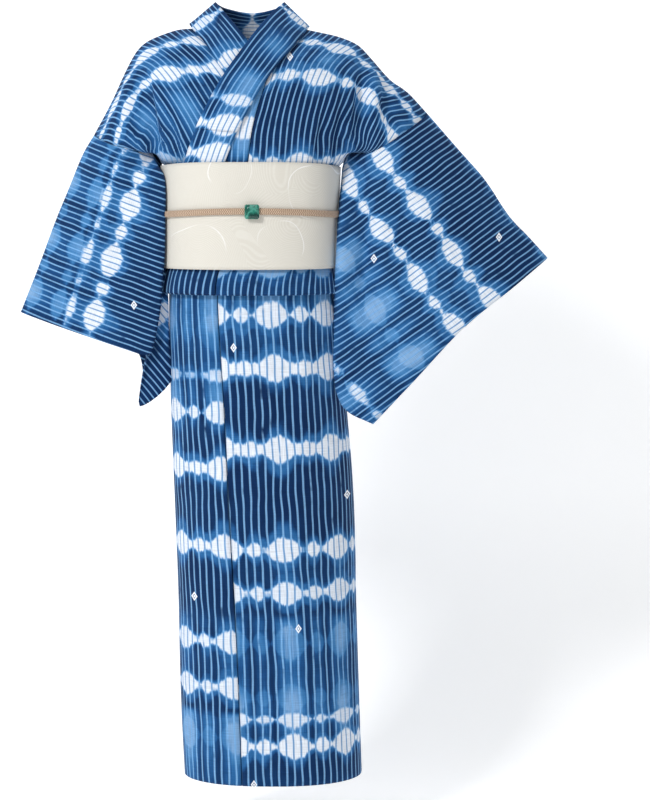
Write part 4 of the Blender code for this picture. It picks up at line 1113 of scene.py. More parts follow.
@dataclass
class Sleeve:
    """Sleeve of one side, a tube from the armhole to the open cuff."""

    side: Side
    flat: tuple[float, float] = (0.33, 0.92)
    stations: int = 14

    @staticmethod
    def loop_shares(loop: np.ndarray, shares: Sequence[float]) -> np.ndarray:
        """Points of a loop at shares of its length."""
        closed, length = closed_lengths(loop)
        want = np.asarray(shares) * length[-1]
        return np.stack([np.interp(want, length, closed[:, k]) for k in range(3)], axis=1)

    def armhole(self, body: FineSheet, axis: np.ndarray) -> np.ndarray:
        """Loop along the armhole edge of the body panel, from its top by the front."""
        first = PATH_ROWS if self.side is Side.LEFT else PLAIN_ROWS
        count = 6 * SPAN_ROWS + 1
        top = (count - 1) / 2
        places = list(np.arange(top, -0.1, -0.5)) + list(np.arange(count - 1, top + 0.1, -0.5))
        edge = body.grid[-1]
        loop = np.stack([np.interp(np.array(places) + first, body.rows, edge[:, k]) for k in range(3)], axis=1)
        share = np.arange(len(loop)) / len(loop)
        low = smooth_step((0.20 - np.abs(share - 0.5)) / 0.16)[:, None]
        aside = np.array([math.copysign(0.0020, axis[0]), 0.0, 0.0])
        return loop + axis * 0.0005 + aside * low

    def left(self, armhole: np.ndarray) -> np.ndarray:
        """Grid of the left sleeve, round over the arm and flat below it."""
        controls = []
        for row in LEFT_SLEEVE:
            top = np.array([row.top_x, 0.0, row.top_z])
            mid = np.array([row.mid_x, 0.55 * row.low_y, row.mid_z])
            low = np.array([row.low_x, row.low_y, row.low_z])
            near = top + (mid - top) * 0.40
            far = mid + (low - mid) * 0.55
            bases = (near, mid, far, low)
            depths = (row.near, row.middle, 0.5 * (row.middle + row.low), row.low * 0.55)
            loop = [base + np.array([0.0, -depth, 0.0]) for base, depth in zip(bases, depths)]
            tip = low + (low - far) * 0.04
            back = [point + np.array([0.0, 2.0 * (base[1] - point[1]), 0.0]) for point, base in zip(loop, bases)]
            controls.append([top] + loop + [tip] + list(reversed(back)))
        shares = (0.0, 0.11, 0.23, 0.36, 0.46, 0.50, 0.54, 0.64, 0.77, 0.89)
        controls[0] = self.loop_shares(armhole, shares)
        return self.tube(np.array(controls), armhole)

    def loops(self, controls: np.ndarray) -> np.ndarray:
        """Loops of control points at even stations along the arm."""
        along = np.linspace(0.0, len(controls) - 1.0, self.stations)
        return np.stack([spline(controls[:, k], along) for k in range(controls.shape[1])], axis=1)

    def tube(self, controls: np.ndarray, first: np.ndarray) -> np.ndarray:
        """Tube grid from loops of control points, its first loop exactly on the armhole."""
        count = controls.shape[1]
        loops = self.loops(controls)
        length = closed_lengths(first)[1]
        own = length[:-1] / length[-1]
        even = np.arange(len(first)) / len(first)
        grid = [first]
        for k, loop in enumerate(loops[1:], 1):
            fine = spline(loop, np.arange(0.0, count, 0.05), closed=True)
            ease = float(smooth_step(k / 4.0))
            grid.append(self.loop_shares(fine, own + (even - own) * ease))
        return np.array(grid)

    def right(self, armhole: np.ndarray) -> np.ndarray:
        """Grid of the right sleeve, its lower corner folded behind the front sheet."""
        controls = []
        for index, row in enumerate(RIGHT_SLEEVE):
            top = np.array([row.top_x, 0.0, row.top_z])
            edge = np.array([row.edge_x, row.edge_y, row.edge_z])
            hang = np.array([row.hang_x, row.edge_y, row.hang_z])
            low = np.array([row.low_x, row.edge_y, row.low_z])
            step = FOLD_STEP if index else 0.0
            near = top + (edge - top) * 0.24
            mid = top + (edge - top) * 0.62
            near[1] = -row.near
            mid[1] = -row.middle
            fold = edge + np.array([0.003, 0.7 * step, -0.004])
            hang[1] += 1.8 * step
            low[1] += 1.8 * step + 0.003
            low_back = low + np.array([-0.003, 0.6 * step + 0.006, 0.004])
            behind = hang + np.array([0.002 * index - 0.008, 0.026, 0.012])
            back_mid = top + (edge - top) * (0.66 + 0.26 * step / FOLD_STEP)
            back_near = top + (edge - top) * 0.26
            back_mid[1] = row.back * 0.72 - 0.8 * step
            back_near[1] = row.back
            controls.append([top, near, mid, edge, fold, hang, low, low_back, behind, back_mid, back_near])
        shares = (0.0, 0.12, 0.26, 0.40, 0.435, 0.465, 0.495, 0.515, 0.56, 0.74, 0.87)
        controls[0] = self.loop_shares(armhole, shares)
        loops = self.loops(np.array(controls))
        places = np.concatenate([k + np.arange(count) / count for k, count in enumerate(FOLD_SAMPLES)])
        return np.array([spline(loop, places, closed=True) for loop in loops])

    def draw_in(self, coarse: np.ndarray) -> np.ndarray:
        """Let the inner edge swing in and forward, in front of the obi's side."""
        side = self.side.value
        x, z = side * coarse[:, :, 0], coarse[:, :, 2]
        near = smooth_step((0.185 - x) / 0.025) * smooth_step((-0.212 - z) / 0.026) * (coarse[:, :, 1] < 0.010)
        near = near * smooth_step(np.arange(len(coarse)) / 1.6)[:, None]
        forward = near * smooth_step((z + 0.470) / 0.060)
        reach = SWING_IN[self.side] + SWING_IN_LOW * smooth_step((-0.400 - z) / 0.040)
        inward = near * smooth_step((z + 0.645) / 0.050) * reach
        coarse[:, :, 0] -= side * inward
        coarse[:, :, 1] -= SWING_FORWARD[self.side] * forward
        return coarse

    def sheet(self, body: FineSheet) -> FineSheet:
        """Fine tube of the sleeve on its body panel."""
        left = self.side is Side.LEFT
        armhole = self.armhole(body, np.array(ARM_AXIS[self.side]))
        coarse = self.left(armhole) if left else self.right(armhole)
        return fine_sheet(self.draw_in(coarse), STEP, -1.0 if left else 1.0, True, CREASES)

    def spread(self, sheet: FineSheet) -> tuple[np.ndarray, np.ndarray]:
        """Flat coordinates of the sleeve; the folded corner of the right one turns with its fold."""
        across, down = sheet.flat_tube(WEFT_AXIS[self.side])
        if self.side is Side.LEFT:
            return across, down
        places = np.append(sheet.rows, sheet.rows[-1] + 0.5)
        hanging = (places > 14.6) & (places < 25.5)
        grid = sheet.lines()
        x, z = grid[:, :, 0] + 0.160, grid[:, :, 2] + 0.473
        across = np.where(hanging[None, :], -0.766 * x - 0.643 * z, across)
        down = np.where(hanging[None, :], 1.0 + 0.643 * x - 0.766 * z, down)
        return across, down

    def plan(self) -> DyePlan:
        """Dye of the sleeve, its rows placed by distance from the top fold."""
        if self.side is Side.LEFT:
            return DyePlan(LEFT_SLEEVE_ROWS, LEFT_SLEEVE_GROUND, 0.014, SLEEVE_STRIPES)
        return DyePlan(RIGHT_SLEEVE_ROWS, RIGHT_SLEEVE_GROUND, 0.085, SLEEVE_STRIPES)


def obi_out(angle: float) -> float:
    """Clear distance of the obi from the body form."""
    front = float(smooth_step((math.radians(115) - abs(angle)) / math.radians(75)))
    return OBI_AWAY + OBI_FRONT_AWAY * front


@dataclass
class Obi:
    """Sash wound round the waist, and its flat folded end on the back."""

    flat: tuple[float, float] = (0.171, 0.84)
    tail_flat: tuple[float, float] = (0.165, 0.55)
    columns: int = 46
    rows: int = 5

    def band(self) -> np.ndarray:
        """Grid of the band as [height, round the body, 3]."""
        grid = []
        for share in np.linspace(0.0, 1.0, self.rows + 1):
            belly = 0.0012 * math.sin(math.pi * share)
            loop = []
            for k in range(self.columns):
                angle = -math.pi + 2 * math.pi * k / self.columns
                top = OBI_TOP_Z + 0.002 - OBI_SIDE_DIP * abs(math.sin(angle)) ** 4
                loop.append(ring_point(angle, OBI_LOW_Z + (top - OBI_LOW_Z) * share, obi_out(angle) + belly))
            grid.append(loop)
        return np.array(grid)

    def tail(self, columns: int = 8) -> np.ndarray:
        """Grid of the folded end as [across, loop, 3]."""
        base = ring_point(math.pi, CORD_Z, obi_out(math.pi) + OBI_CLOTH)[1] + 0.0042
        half = OBI_TAIL_DEPTH / 2.0
        top, low = OBI_TAIL_TOP_Z, OBI_TAIL_LOW_Z
        lean = 0.026
        heights = (low, low + 0.10, CORD_Z, top - 0.004)
        loop = [(base + lean * (abs(z - CORD_Z) / 0.15) ** 2, z) for z in heights]
        loop.append((base + lean * ((top - CORD_Z) / 0.15) ** 2 + half * 0.5, top))
        loop += [(base + half + lean * (abs(z - CORD_Z) / 0.15) ** 2, z) for z in reversed(heights)]
        loop.append((base + lean * ((low - CORD_Z) / 0.15) ** 2 + half * 0.5, low - 0.003))
        grid = []
        for x in np.linspace(-OBI_TAIL_WIDTH / 2, OBI_TAIL_WIDTH / 2, columns + 1):
            curl = 0.002 * (abs(x) / (OBI_TAIL_WIDTH / 2)) ** 3
            grid.append([(x, y + curl, z) for y, z in loop])
        return np.array(grid)


@dataclass
class Obijime:
    """Flat braided cord drawn tight round the obi."""

    columns: int = 420
    around: int = 20

    @staticmethod
    def hull(points: Iterable[Sequence[float]]) -> np.ndarray:
        """Convex outline of flat points, in order."""
        ordered = sorted(map(tuple, points))
        sides: list[tuple[float, float]] = []
        for run in (ordered, ordered[::-1]):
            side: list[tuple[float, float]] = []
            for point in run:
                while len(side) > 1 and ((side[-1][0] - side[-2][0]) * (point[1] - side[-2][1])
                                         - (side[-1][1] - side[-2][1]) * (point[0] - side[-2][0])) <= 0:
                    side.pop()
                side.append(point)
            sides += side[:-1]
        return np.array(sides)

    def path(self, tail: np.ndarray) -> np.ndarray:
        """Middle line of the cord round the obi and its folded end, in plan."""
        away = OBI_CLOTH + CORD_AWAY + CORD_DEPTH / 2
        body = [ring_point(a, CORD_Z, obi_out(a) + away)[:2] for a in np.linspace(-math.pi, math.pi, 240)]
        tail_y = tail[:, :, 1][np.abs(tail[:, :, 2] - CORD_Z) < 0.001].max() + OBI_CLOTH * 0.8
        corner = OBI_TAIL_WIDTH / 2 + 0.0060
        corners = [(side * corner * share, tail_y + 0.0016 + CORD_DEPTH / 2 - 0.0010 * (share > 0.98))
                   for side in (-1, 1) for share in (0.94, 1.0)]
        path = self.hull([tuple(point) for point in body] + corners)
        closed, length = closed_lengths(path)
        want = np.linspace(0.0, length[-1], self.columns, endpoint=False)
        return np.stack([np.interp(want, length, closed[:, k]) for k in range(2)], axis=1)

    def build(self, name: str, tail: np.ndarray) -> bpy.types.Object:
        """Make the closed cord, its braid on a UV map in metres."""
        flat = self.path(tail)
        run = np.roll(flat, -1, axis=0) - np.roll(flat, 1, axis=0)
        normal = np.stack([run[:, 1], -run[:, 0]], axis=1) / np.linalg.norm(run, axis=1)[:, None]
        step = np.linalg.norm(np.roll(flat, -1, axis=0) - flat, axis=1)
        along = np.concatenate([[0.0], np.cumsum(step)])
        bm = bmesh.new()
        bmesh.ops.create_grid(bm, x_segments=self.columns, y_segments=self.around, size=1.0)
        uv = bm.loops.layers.uv.new("cloth")
        spots = {vert.index: (int(round((vert.co.x + 1) / 2 * self.columns)),
                              int(round((vert.co.y + 1) / 2 * self.around))) for vert in bm.verts}
        heights: dict[int, float] = {}
        for vert in bm.verts:
            i, j = spots[vert.index]
            k = i % self.columns
            turn = 2 * math.pi * (j % self.around + 0.5) / self.around
            side, tall = math.cos(turn), math.sin(turn)
            spread = math.copysign(abs(side) ** 0.7, side) * CORD_DEPTH / 2
            rise = math.copysign(abs(tall) ** 0.7, tall) * CORD_WIDTH / 2
            heights[vert.index] = rise
            centre = flat[k] + normal[k] * spread
            bow = CORD_BOW * (min(1.0, abs(centre[0]) / 0.135) ** 2 if centre[1] < 0.0 else 1.0)
            vert.co = (centre[0], centre[1], CORD_Z - CORD_TILT * flat[k][1] + rise - bow)
        for face in bm.faces:
            for loop in face.loops:
                loop[uv].uv = (along[spots[loop.vert.index][0]], heights[loop.vert.index])
            face.smooth = True
        bmesh.ops.remove_doubles(bm, verts=bm.verts[:], dist=1e-6)
        bmesh.ops.recalc_face_normals(bm, faces=bm.faces[:])
        return put_in_scene(bm, name)


@dataclass
class Obidome:
    """Step-cut glass clasp with cut corners."""

    levels: tuple[tuple[float, float], ...] = (
        (0.0, 0.40), (0.0016, 0.50), (0.0034, 0.50), (0.0050, 0.45), (0.0064, 0.385), (CLASP_DEPTH, 0.30),
    )

    def build(self, name: str) -> bpy.types.Object:
        """Make the clasp from one eight-sided face, drawn forward level by level."""
        angle = angle_at(CLASP_X, CORD_Z)
        back = ring_point(angle, CORD_Z, obi_out(angle) + OBI_CLOTH + CORD_AWAY + CORD_DEPTH + 0.0001)[1]
        bm = bmesh.new()
        bmesh.ops.create_circle(bm, cap_ends=True, radius=1.0, segments=8)
        turn = math.radians(22.5)
        ordered = sorted(bm.verts, key=lambda vert: math.atan2(vert.co.y, vert.co.x))
        for k, vert in enumerate(ordered):
            spin = math.radians(-180 + 45 * k) + turn
            vert.co = Vector((math.copysign(1.0 if abs(math.cos(spin)) > 0.7 else 0.80, math.cos(spin)), 0.0,
                              math.copysign(1.0 if abs(math.sin(spin)) > 0.7 else 0.80, math.sin(spin))))
        reach = CLASP_SIZE * self.levels[0][1]
        for vert in bm.verts:
            vert.co = Vector((vert.co.x * reach, 0.0, vert.co.z * reach))
        face = bm.faces[:][0]
        for (depth, share), (_before, last) in zip(self.levels[1:], self.levels):
            grown = bmesh.ops.extrude_face_region(bm, geom=[face], use_keep_orig=(last == self.levels[0][1]))
            verts = [item for item in grown["geom"] if isinstance(item, bmesh.types.BMVert)]
            face = next(item for item in grown["geom"] if isinstance(item, bmesh.types.BMFace))
            for vert in verts:
                vert.co = Vector((vert.co.x * share / last, -depth, vert.co.z * share / last))
        bmesh.ops.translate(bm, verts=bm.verts[:], vec=(CLASP_X, back, CORD_Z + 0.001))
        bmesh.ops.recalc_face_normals(bm, faces=bm.faces[:])
        made = put_in_scene(bm, name)
        edge = made.modifiers.new("edge", "BEVEL")
        edge.width = 0.00025
        edge.segments = 2
        return made


def colour(value: str) -> tuple[float, float, float, float]:
    """Turn an sRGB hex colour to linear."""
    parts = [int(value[k:k + 2], 16) / 255.0 for k in (1, 3, 5)]
    linear = [part / 12.92 if part <= 0.04045 else ((part + 0.055) / 1.055) ** 2.4 for part in parts]
    return (*linear, 1.0)


def add_node(tree: bpy.types.NodeTree, kind: str, inputs: Optional[dict] = None, **settings) -> bpy.types.Node:
    """Add a shader node with its settings and links.

    Args:
        tree: node tree to add to.
        kind: node type without its ShaderNode prefix.
        inputs: values, sockets or terms, by the name or number of the input.
        settings: properties of the node.

    Returns:
        The node.
    """
    made = tree.nodes.new("ShaderNode" + kind)
    for name, value in settings.items():
        setattr(made, name, value)
    for key, value in (inputs or {}).items():
        value = value.socket if isinstance(value, Term) else value
        if isinstance(value, bpy.types.NodeSocket):
            tree.links.new(value, made.inputs[key])
        else:
            made.inputs[key].default_value = value
    return made


@dataclass(frozen=True)
class Term:
    """Output of a shader node, with arithmetic that adds the Math nodes for it."""

    tree: bpy.types.NodeTree
    socket: bpy.types.NodeSocket

    def apply(self, operation: str, *others) -> "Term":
        """Result of one operation on this value and others."""
        inputs = dict(enumerate((self, *others)))
        return Term(self.tree, add_node(self.tree, "Math", inputs, operation=operation).outputs[0])

    def __add__(self, other) -> "Term":
        return self.apply("ADD", other)

    def __sub__(self, other) -> "Term":
        return self.apply("SUBTRACT", other)

    def __mul__(self, other) -> "Term":
        return self.apply("MULTIPLY", other)

    def __truediv__(self, other) -> "Term":
        return self.apply("DIVIDE", other)

    def __abs__(self) -> "Term":
        return self.apply("ABSOLUTE")

    def wave(self, pitch: float) -> "Term":
        """Triangle wave, 0 at each pitch and half of it between."""
        return self.apply("PINGPONG", pitch / 2)

    def edge(self, start: float, end: float) -> "Term":
        """Smooth mask that goes from 0 at the start value to 1 at the end value."""
        inputs = {"Value": self, "From Min": start, "From Max": end}
        return Term(self.tree, add_node(self.tree, "MapRange", inputs, interpolation_type="SMOOTHSTEP").outputs[0])


class Finish:
    """A new material, with short calls for the nodes that repeat."""

    def __init__(self, name: str) -> None:
        """Make the material with its shader."""
        self.material = bpy.data.materials.new(name)
        self.material.use_nodes = True
        self.tree = self.material.node_tree
        self.shader = self.tree.nodes["Principled BSDF"]

    def term(self, kind: str, inputs: Optional[dict] = None, output: int | str = 0, **settings) -> Term:
        """One output of a new node."""
        return Term(self.tree, add_node(self.tree, kind, inputs, **settings).outputs[output])

    def axes(self, place: Term) -> list[Term]:
        """The three coordinates of a place."""
        return [Term(self.tree, part) for part in add_node(self.tree, "SeparateXYZ", {0: place}).outputs]

    def noise(self, place: Term, scale: float | tuple[float, float, float], detail: float = 2.0,
              roughness: float = 0.5) -> Term:
        """Noise at a place, its scale one number or one for each axis."""
        if isinstance(scale, tuple):
            place, scale = self.term("Mapping", {"Vector": place, "Scale": scale}), 1.0
        return self.term("TexNoise", {"Vector": place, "Scale": scale, "Detail": detail, "Roughness": roughness})

    def ramp(self, value: Term, stops: Sequence[tuple[float, float | str]], interpolation: str = "LINEAR") -> Term:
        """Ramp of sRGB colours or of heights."""
        made = add_node(self.tree, "ValToRGB", {0: value})
        elements = made.color_ramp.elements
        made.color_ramp.interpolation = interpolation
        while len(elements) < len(stops):
            elements.new(0.5)
        for element, (place, shade) in zip(elements, stops):
            element.position = place
            element.color = colour(shade) if isinstance(shade, str) else (shade, shade, shade, 1.0)
        return Term(self.tree, made.outputs[0])

    def blend(self, share: Term | float, first, second, blend_type: str = "MIX") -> Term:
        """Mix of two colours, hex strings or terms."""
        first, second = (colour(shade) if isinstance(shade, str) else shade for shade in (first, second))
        return self.term("Mix", {0: share, 6: first, 7: second}, 2, data_type="RGBA", blend_type=blend_type)

    @staticmethod
    def largest(masks: Iterable[Term]) -> Term:
        """Union of masks."""
        return reduce(lambda total, mask: total.apply("MAXIMUM", mask), masks)

    def done(self, settings: dict, base: Optional[Term] = None, height: Optional[Term] = None,
             strength: float = 1.0) -> bpy.types.Material:
        """Set the shader, link its colour and its bump, and give the material."""
        for key, value in settings.items():
            self.shader.inputs[key].default_value = value
        if base:
            self.tree.links.new(base.socket, self.shader.inputs["Base Color"])
        if height:
            bump = add_node(self.tree, "Bump", {"Height": height, "Strength": strength, "Distance": 1.0})
            self.tree.links.new(bump.outputs[0], self.shader.inputs["Normal"])
        return self.material


@dataclass(frozen=True)
class DyedCotton:
    """Slub cotton tie-dyed with indigo: matt, with soft bead rows and fine pale warp stripes."""

    name: str = "dyed_slub_cotton"
    stripe_pitch: float = 0.0125
    stripe_half: float = 0.0014
    bead_pitch: float = 0.096
    # Height of a bead along half the pitch: a long bead, a gap and a small one
    beads: tuple = ((0.0, 1.0), (0.10, 1.0), (0.30, 0.80), (0.50, 0.42), (0.64, 0.06), (0.69, 0.02), (0.85, 0.56),
                    (1.0, 0.62))
    # From full indigo to undyed
    tones: tuple = ((0.0, "#0C2850"), (0.12, "#12345F"), (0.28, "#1C4A7E"), (0.44, "#2C6399"), (0.58, "#457EB3"),
                    (0.74, "#83A9D1"), (0.88, "#C3D2E5"), (1.0, "#DEE4ED"))
    stripe_tones: tuple = ((0.0, "#76A5D0"), (0.3, "#79ABD9"), (0.6, "#78ABDC"), (1.0, "#5D90C2"))
    # Small undyed diamonds: their places in the front view
    marks: tuple = (
        (-0.0266, -0.516), (-0.093, -0.926), (0.078, -0.974), (0.4067, -0.340), (0.2009, -0.374), (0.005, -1.232),
        (0.1577, -0.762), (0.0647, -0.048), (-0.191, -0.450), (0.035, -0.330),
    )
    mark_half: tuple[float, float] = (0.0052, 0.0076)

    def make(self) -> bpy.types.Material:
        """Material on the cloth's own UV map in metres and its dye attributes."""
        art = Finish(self.name)
        place = art.term("UVMap", uv_map="cloth")
        across = art.axes(place)[0]
        dye = add_node(art.tree, "Attribute", attribute_name="dye").outputs
        fields = add_node(art.tree, "SeparateColor", {0: dye["Color"]}).outputs
        gap, half, white_share, ground = (Term(art.tree, part) for part in (*fields[:3], dye["Alpha"]))
        link, close = (art.term("Attribute", None, "Fac", attribute_name=name) for name in ("link", "close"))
        # The dye creeps along the threads, so its edges waver by a few millimetres
        creep = art.noise(place, (130.0, 30.0, 1.0), 3.0, 0.6)
        cloud = art.noise(place, 9.0, 4.0, 0.62)
        shift = (art.noise(place, 5.0, 1.0) - 0.5) * 0.020
        peak = art.ramp((across + shift).wave(self.bead_pitch) / (self.bead_pitch / 2), self.beads, "B_SPLINE")
        inside = peak.apply("SMOOTH_MAX", link, 0.15) * (half * HALF_UNIT) - gap * GAP_UNIT + (creep - 0.5) * 0.013
        white = inside.edge(-0.0030, 0.0044) * white_share
        # Paler dye round the beads, and lobes of it between the rows
        outer = (inside + (cloud - 0.5) * 0.075) / (peak * 0.75 + 0.45)
        halo = outer.edge(-0.0290, -0.0020) * 0.44 * white_share
        lobes = (peak - 0.45) * 0.56 * ground.edge(0.10, 0.30)
        patchy = ground + lobes + (cloud - 0.5) * 0.42
        # Where the dye is thin, single warp threads took up more or less of it
        streak = (art.noise(place, (420.0, 7.0, 1.0), 2.0, 0.7) - 0.5) * 0.34
        patchy = patchy + streak * patchy.edge(0.05, 0.45)
        tone = patchy.apply("MINIMUM", 0.62).apply("MAXIMUM", halo)
        tone = tone + white * (tone * -1.0 + 1.0)
        cloth, thread = art.ramp(tone, self.tones), art.ramp(tone, self.stripe_tones)
        bent = across * close + (art.noise(place, 16.0, 1.0) - 0.5) * 0.0070
        stripe = bent.wave(self.stripe_pitch).edge(self.stripe_half + 0.0008, self.stripe_half - 0.0006)
        stripe = stripe * art.noise(place, 30.0).edge(0.20, 0.42)
        cloth = art.blend(stripe * 0.92, cloth, thread)
        # Slubs: thick places in the threads, drawn about 1 mm wide so that they show
        weave = art.noise(place, (900.0, 34.0, 1.0)) + art.noise(place, (34.0, 900.0, 1.0))
        limits = {"Value": weave, "From Min": 0.6, "From Max": 1.4, "To Min": 0.74, "To Max": 1.22}
        shade = art.term("MapRange", limits)
        cloth = art.blend(1.0, cloth, art.term("CombineColor", {0: shade, 1: shade, 2: shade}), "MULTIPLY")
        cloth = art.blend(self.mark_mask(art), cloth, "#EEF1F7")
        height = weave * 0.00010 + art.noise(place, 55.0, 4.0, 0.55) * 0.0011
        return art.done({"Roughness": 0.88, "IOR": 1.5, "Specular IOR Level": 0.08, "Sheen Weight": 0.03,
                         "Sheen Roughness": 0.5}, cloth, height, 0.5)

    def mark_mask(self, art: Finish) -> Term:
        """Small undyed diamonds, each with a ring in it, on the front."""
        at_x, at_y, at_z = art.axes(art.term("TexCoord", output="Object"))
        reaches = [abs(at_x - x) / self.mark_half[0] + abs(at_z - z) / self.mark_half[1] for x, z in self.marks]
        masks = [reach.edge(1.10, 0.90) * abs(reach - 0.46).edge(0.06, 0.14) for reach in reaches]
        return art.largest(masks) * at_y.apply("LESS_THAN", 0.0)


@dataclass(frozen=True)
class RippledSash:
    """Off-white woven sash: satin ripples in rings about 2 mm apart and a few soft white curves."""

    name: str = "rippled_sash_weave"
    ripple: float = 0.0024
    ring_scale: float = 8.0
    # Middle in the front view and radius of each curve
    curves: tuple = ((-0.086, -0.366, 0.050), (-0.030, -0.236, 0.034), (0.052, -0.352, 0.040),
                     (0.108, -0.262, 0.046), (0.000, -0.430, 0.070))

    def make(self) -> bpy.types.Material:
        """Material on object coordinates."""
        art = Finish(self.name)
        spot = art.term("TexCoord", output="Object")
        bend = art.term("TexNoise", {"Vector": spot, "Scale": 9.0, "Detail": 1.0}, "Color")
        bend = art.term("VectorMath", {0: bend, 1: (0.5, 0.5, 0.5)}, operation="SUBTRACT")
        bend = art.term("VectorMath", {0: bend, "Scale": 0.045}, operation="SCALE")
        moved = art.term("VectorMath", {0: spot, 1: bend}, operation="ADD")
        rings = art.term("TexVoronoi", {"Vector": moved, "Scale": self.ring_scale, "Randomness": 1.0}, "Distance")
        ridge = (rings / self.ring_scale).wave(self.ripple).edge(self.ripple * 0.14, self.ripple * 0.42)
        threads = art.noise(spot, (120.0, 120.0, 900.0))
        lines = self.curve_mask(art, moved)
        cloth = art.blend(ridge, "#D5D1C7", "#DCD9D0")
        cloth = art.blend(threads * 0.35, cloth, "#CFC9BB")
        cloth = art.blend(lines, cloth, "#ECEAE6")
        height = ridge * 0.00016 + lines * 0.00025 + threads * 0.00010
        return art.done({"Roughness": 0.62, "Sheen Weight": 0.15}, cloth, height, 0.55)

    def curve_mask(self, art: Finish, spot: Term) -> Term:
        """Soft broken curves woven in a whiter thread."""
        at_x, _at_y, at_z = art.axes(spot)
        lines = []
        for x, z, radius in self.curves:
            wide, tall = at_x - x, at_z - z
            lines.append(abs((wide * wide + tall * tall).apply("SQRT") - radius).edge(0.0010, 0.0004))
        return art.largest(lines) * art.noise(spot, 14.0, 0.0).edge(0.42, 0.60)


@dataclass(frozen=True)
class CordBraid:
    """Tan silk braid: chevrons of twisted strands about 1.5 mm long, with a low sheen; each strand's colour darkens
    into its grooves and pales on its crests as painted shade and highlight.
    """

    name: str = "tan_silk_braid"
    strand: float = 0.0034
    # Along a strand, from its groove to its crest: the strands' own tan, with painted shade in the grooves and a
    # painted highlight on the crests
    tones: tuple = ((0.0, "#6A5040"), (0.30, "#9A7C65"), (0.65, "#C6AB90"), (1.0, "#DCC5AB"))

    def make(self) -> bpy.types.Material:
        """Material on the cord's own UV map in metres."""
        art = Finish(self.name)
        along, across, _ = art.axes(art.term("UVMap", uv_map="cloth"))
        # The colour follows the same wave as the bump, so the grooves get painted shade and the crests a painted
        # highlight
        wave = (along + across.wave(0.0052) * 0.9).wave(self.strand) / (self.strand / 2)
        tint = art.noise(art.term("TexCoord", output="Object"), 60.0)
        shade = art.blend(tint * 0.25, art.ramp(wave, self.tones), "#9C7F68")
        return art.done({"Roughness": 0.55, "Sheen Weight": 0.2}, shade, wave * 0.0006, 0.8)


@dataclass(frozen=True)
class CutGlass:
    """Green lead glass, cut and polished: clear, its facets painted with dark and bright patches that stand in for
    reflections.
    """

    name: str = "green_cut_glass"
    # From dark to pale green: painted reflections of the facets, spread over the glass by noise
    tones: tuple = ((0.34, "#07564A"), (0.47, "#1E9A82"), (0.55, "#6FD0BA"), (0.66, "#0F7866"))

    def make(self) -> bpy.types.Material:
        """Material on object coordinates, noise mottling its green with painted dark and pale reflections."""
        art = Finish(self.name)
        cloud = art.noise(art.term("TexCoord", output="Object"), 80.0, 1.0)
        return art.done({"Roughness": 0.04, "IOR": 1.56, "Transmission Weight": 0.55}, art.ramp(cloud, self.tones))


def dress(piece: bpy.types.Object, node: str, material: bpy.types.Material) -> bpy.types.Object:
    """Give a piece its finish and its body, hide the solid of the node that it stands for, and log its size."""
    piece.data.materials.clear()
    piece.data.materials.append(material)
    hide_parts(node)
    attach(piece, "root")
    area = sum(face.area for face in piece.data.polygons)
    LOG.info("%s: %d faces before its modifiers, %.4f square metres", piece.name, len(piece.data.polygons), area)
    return piece


@dataclass(frozen=True)
class Light:
    """Square area light that points at the robe."""

    name: str
    place: tuple[float, float, float]
    size: float
    power: float


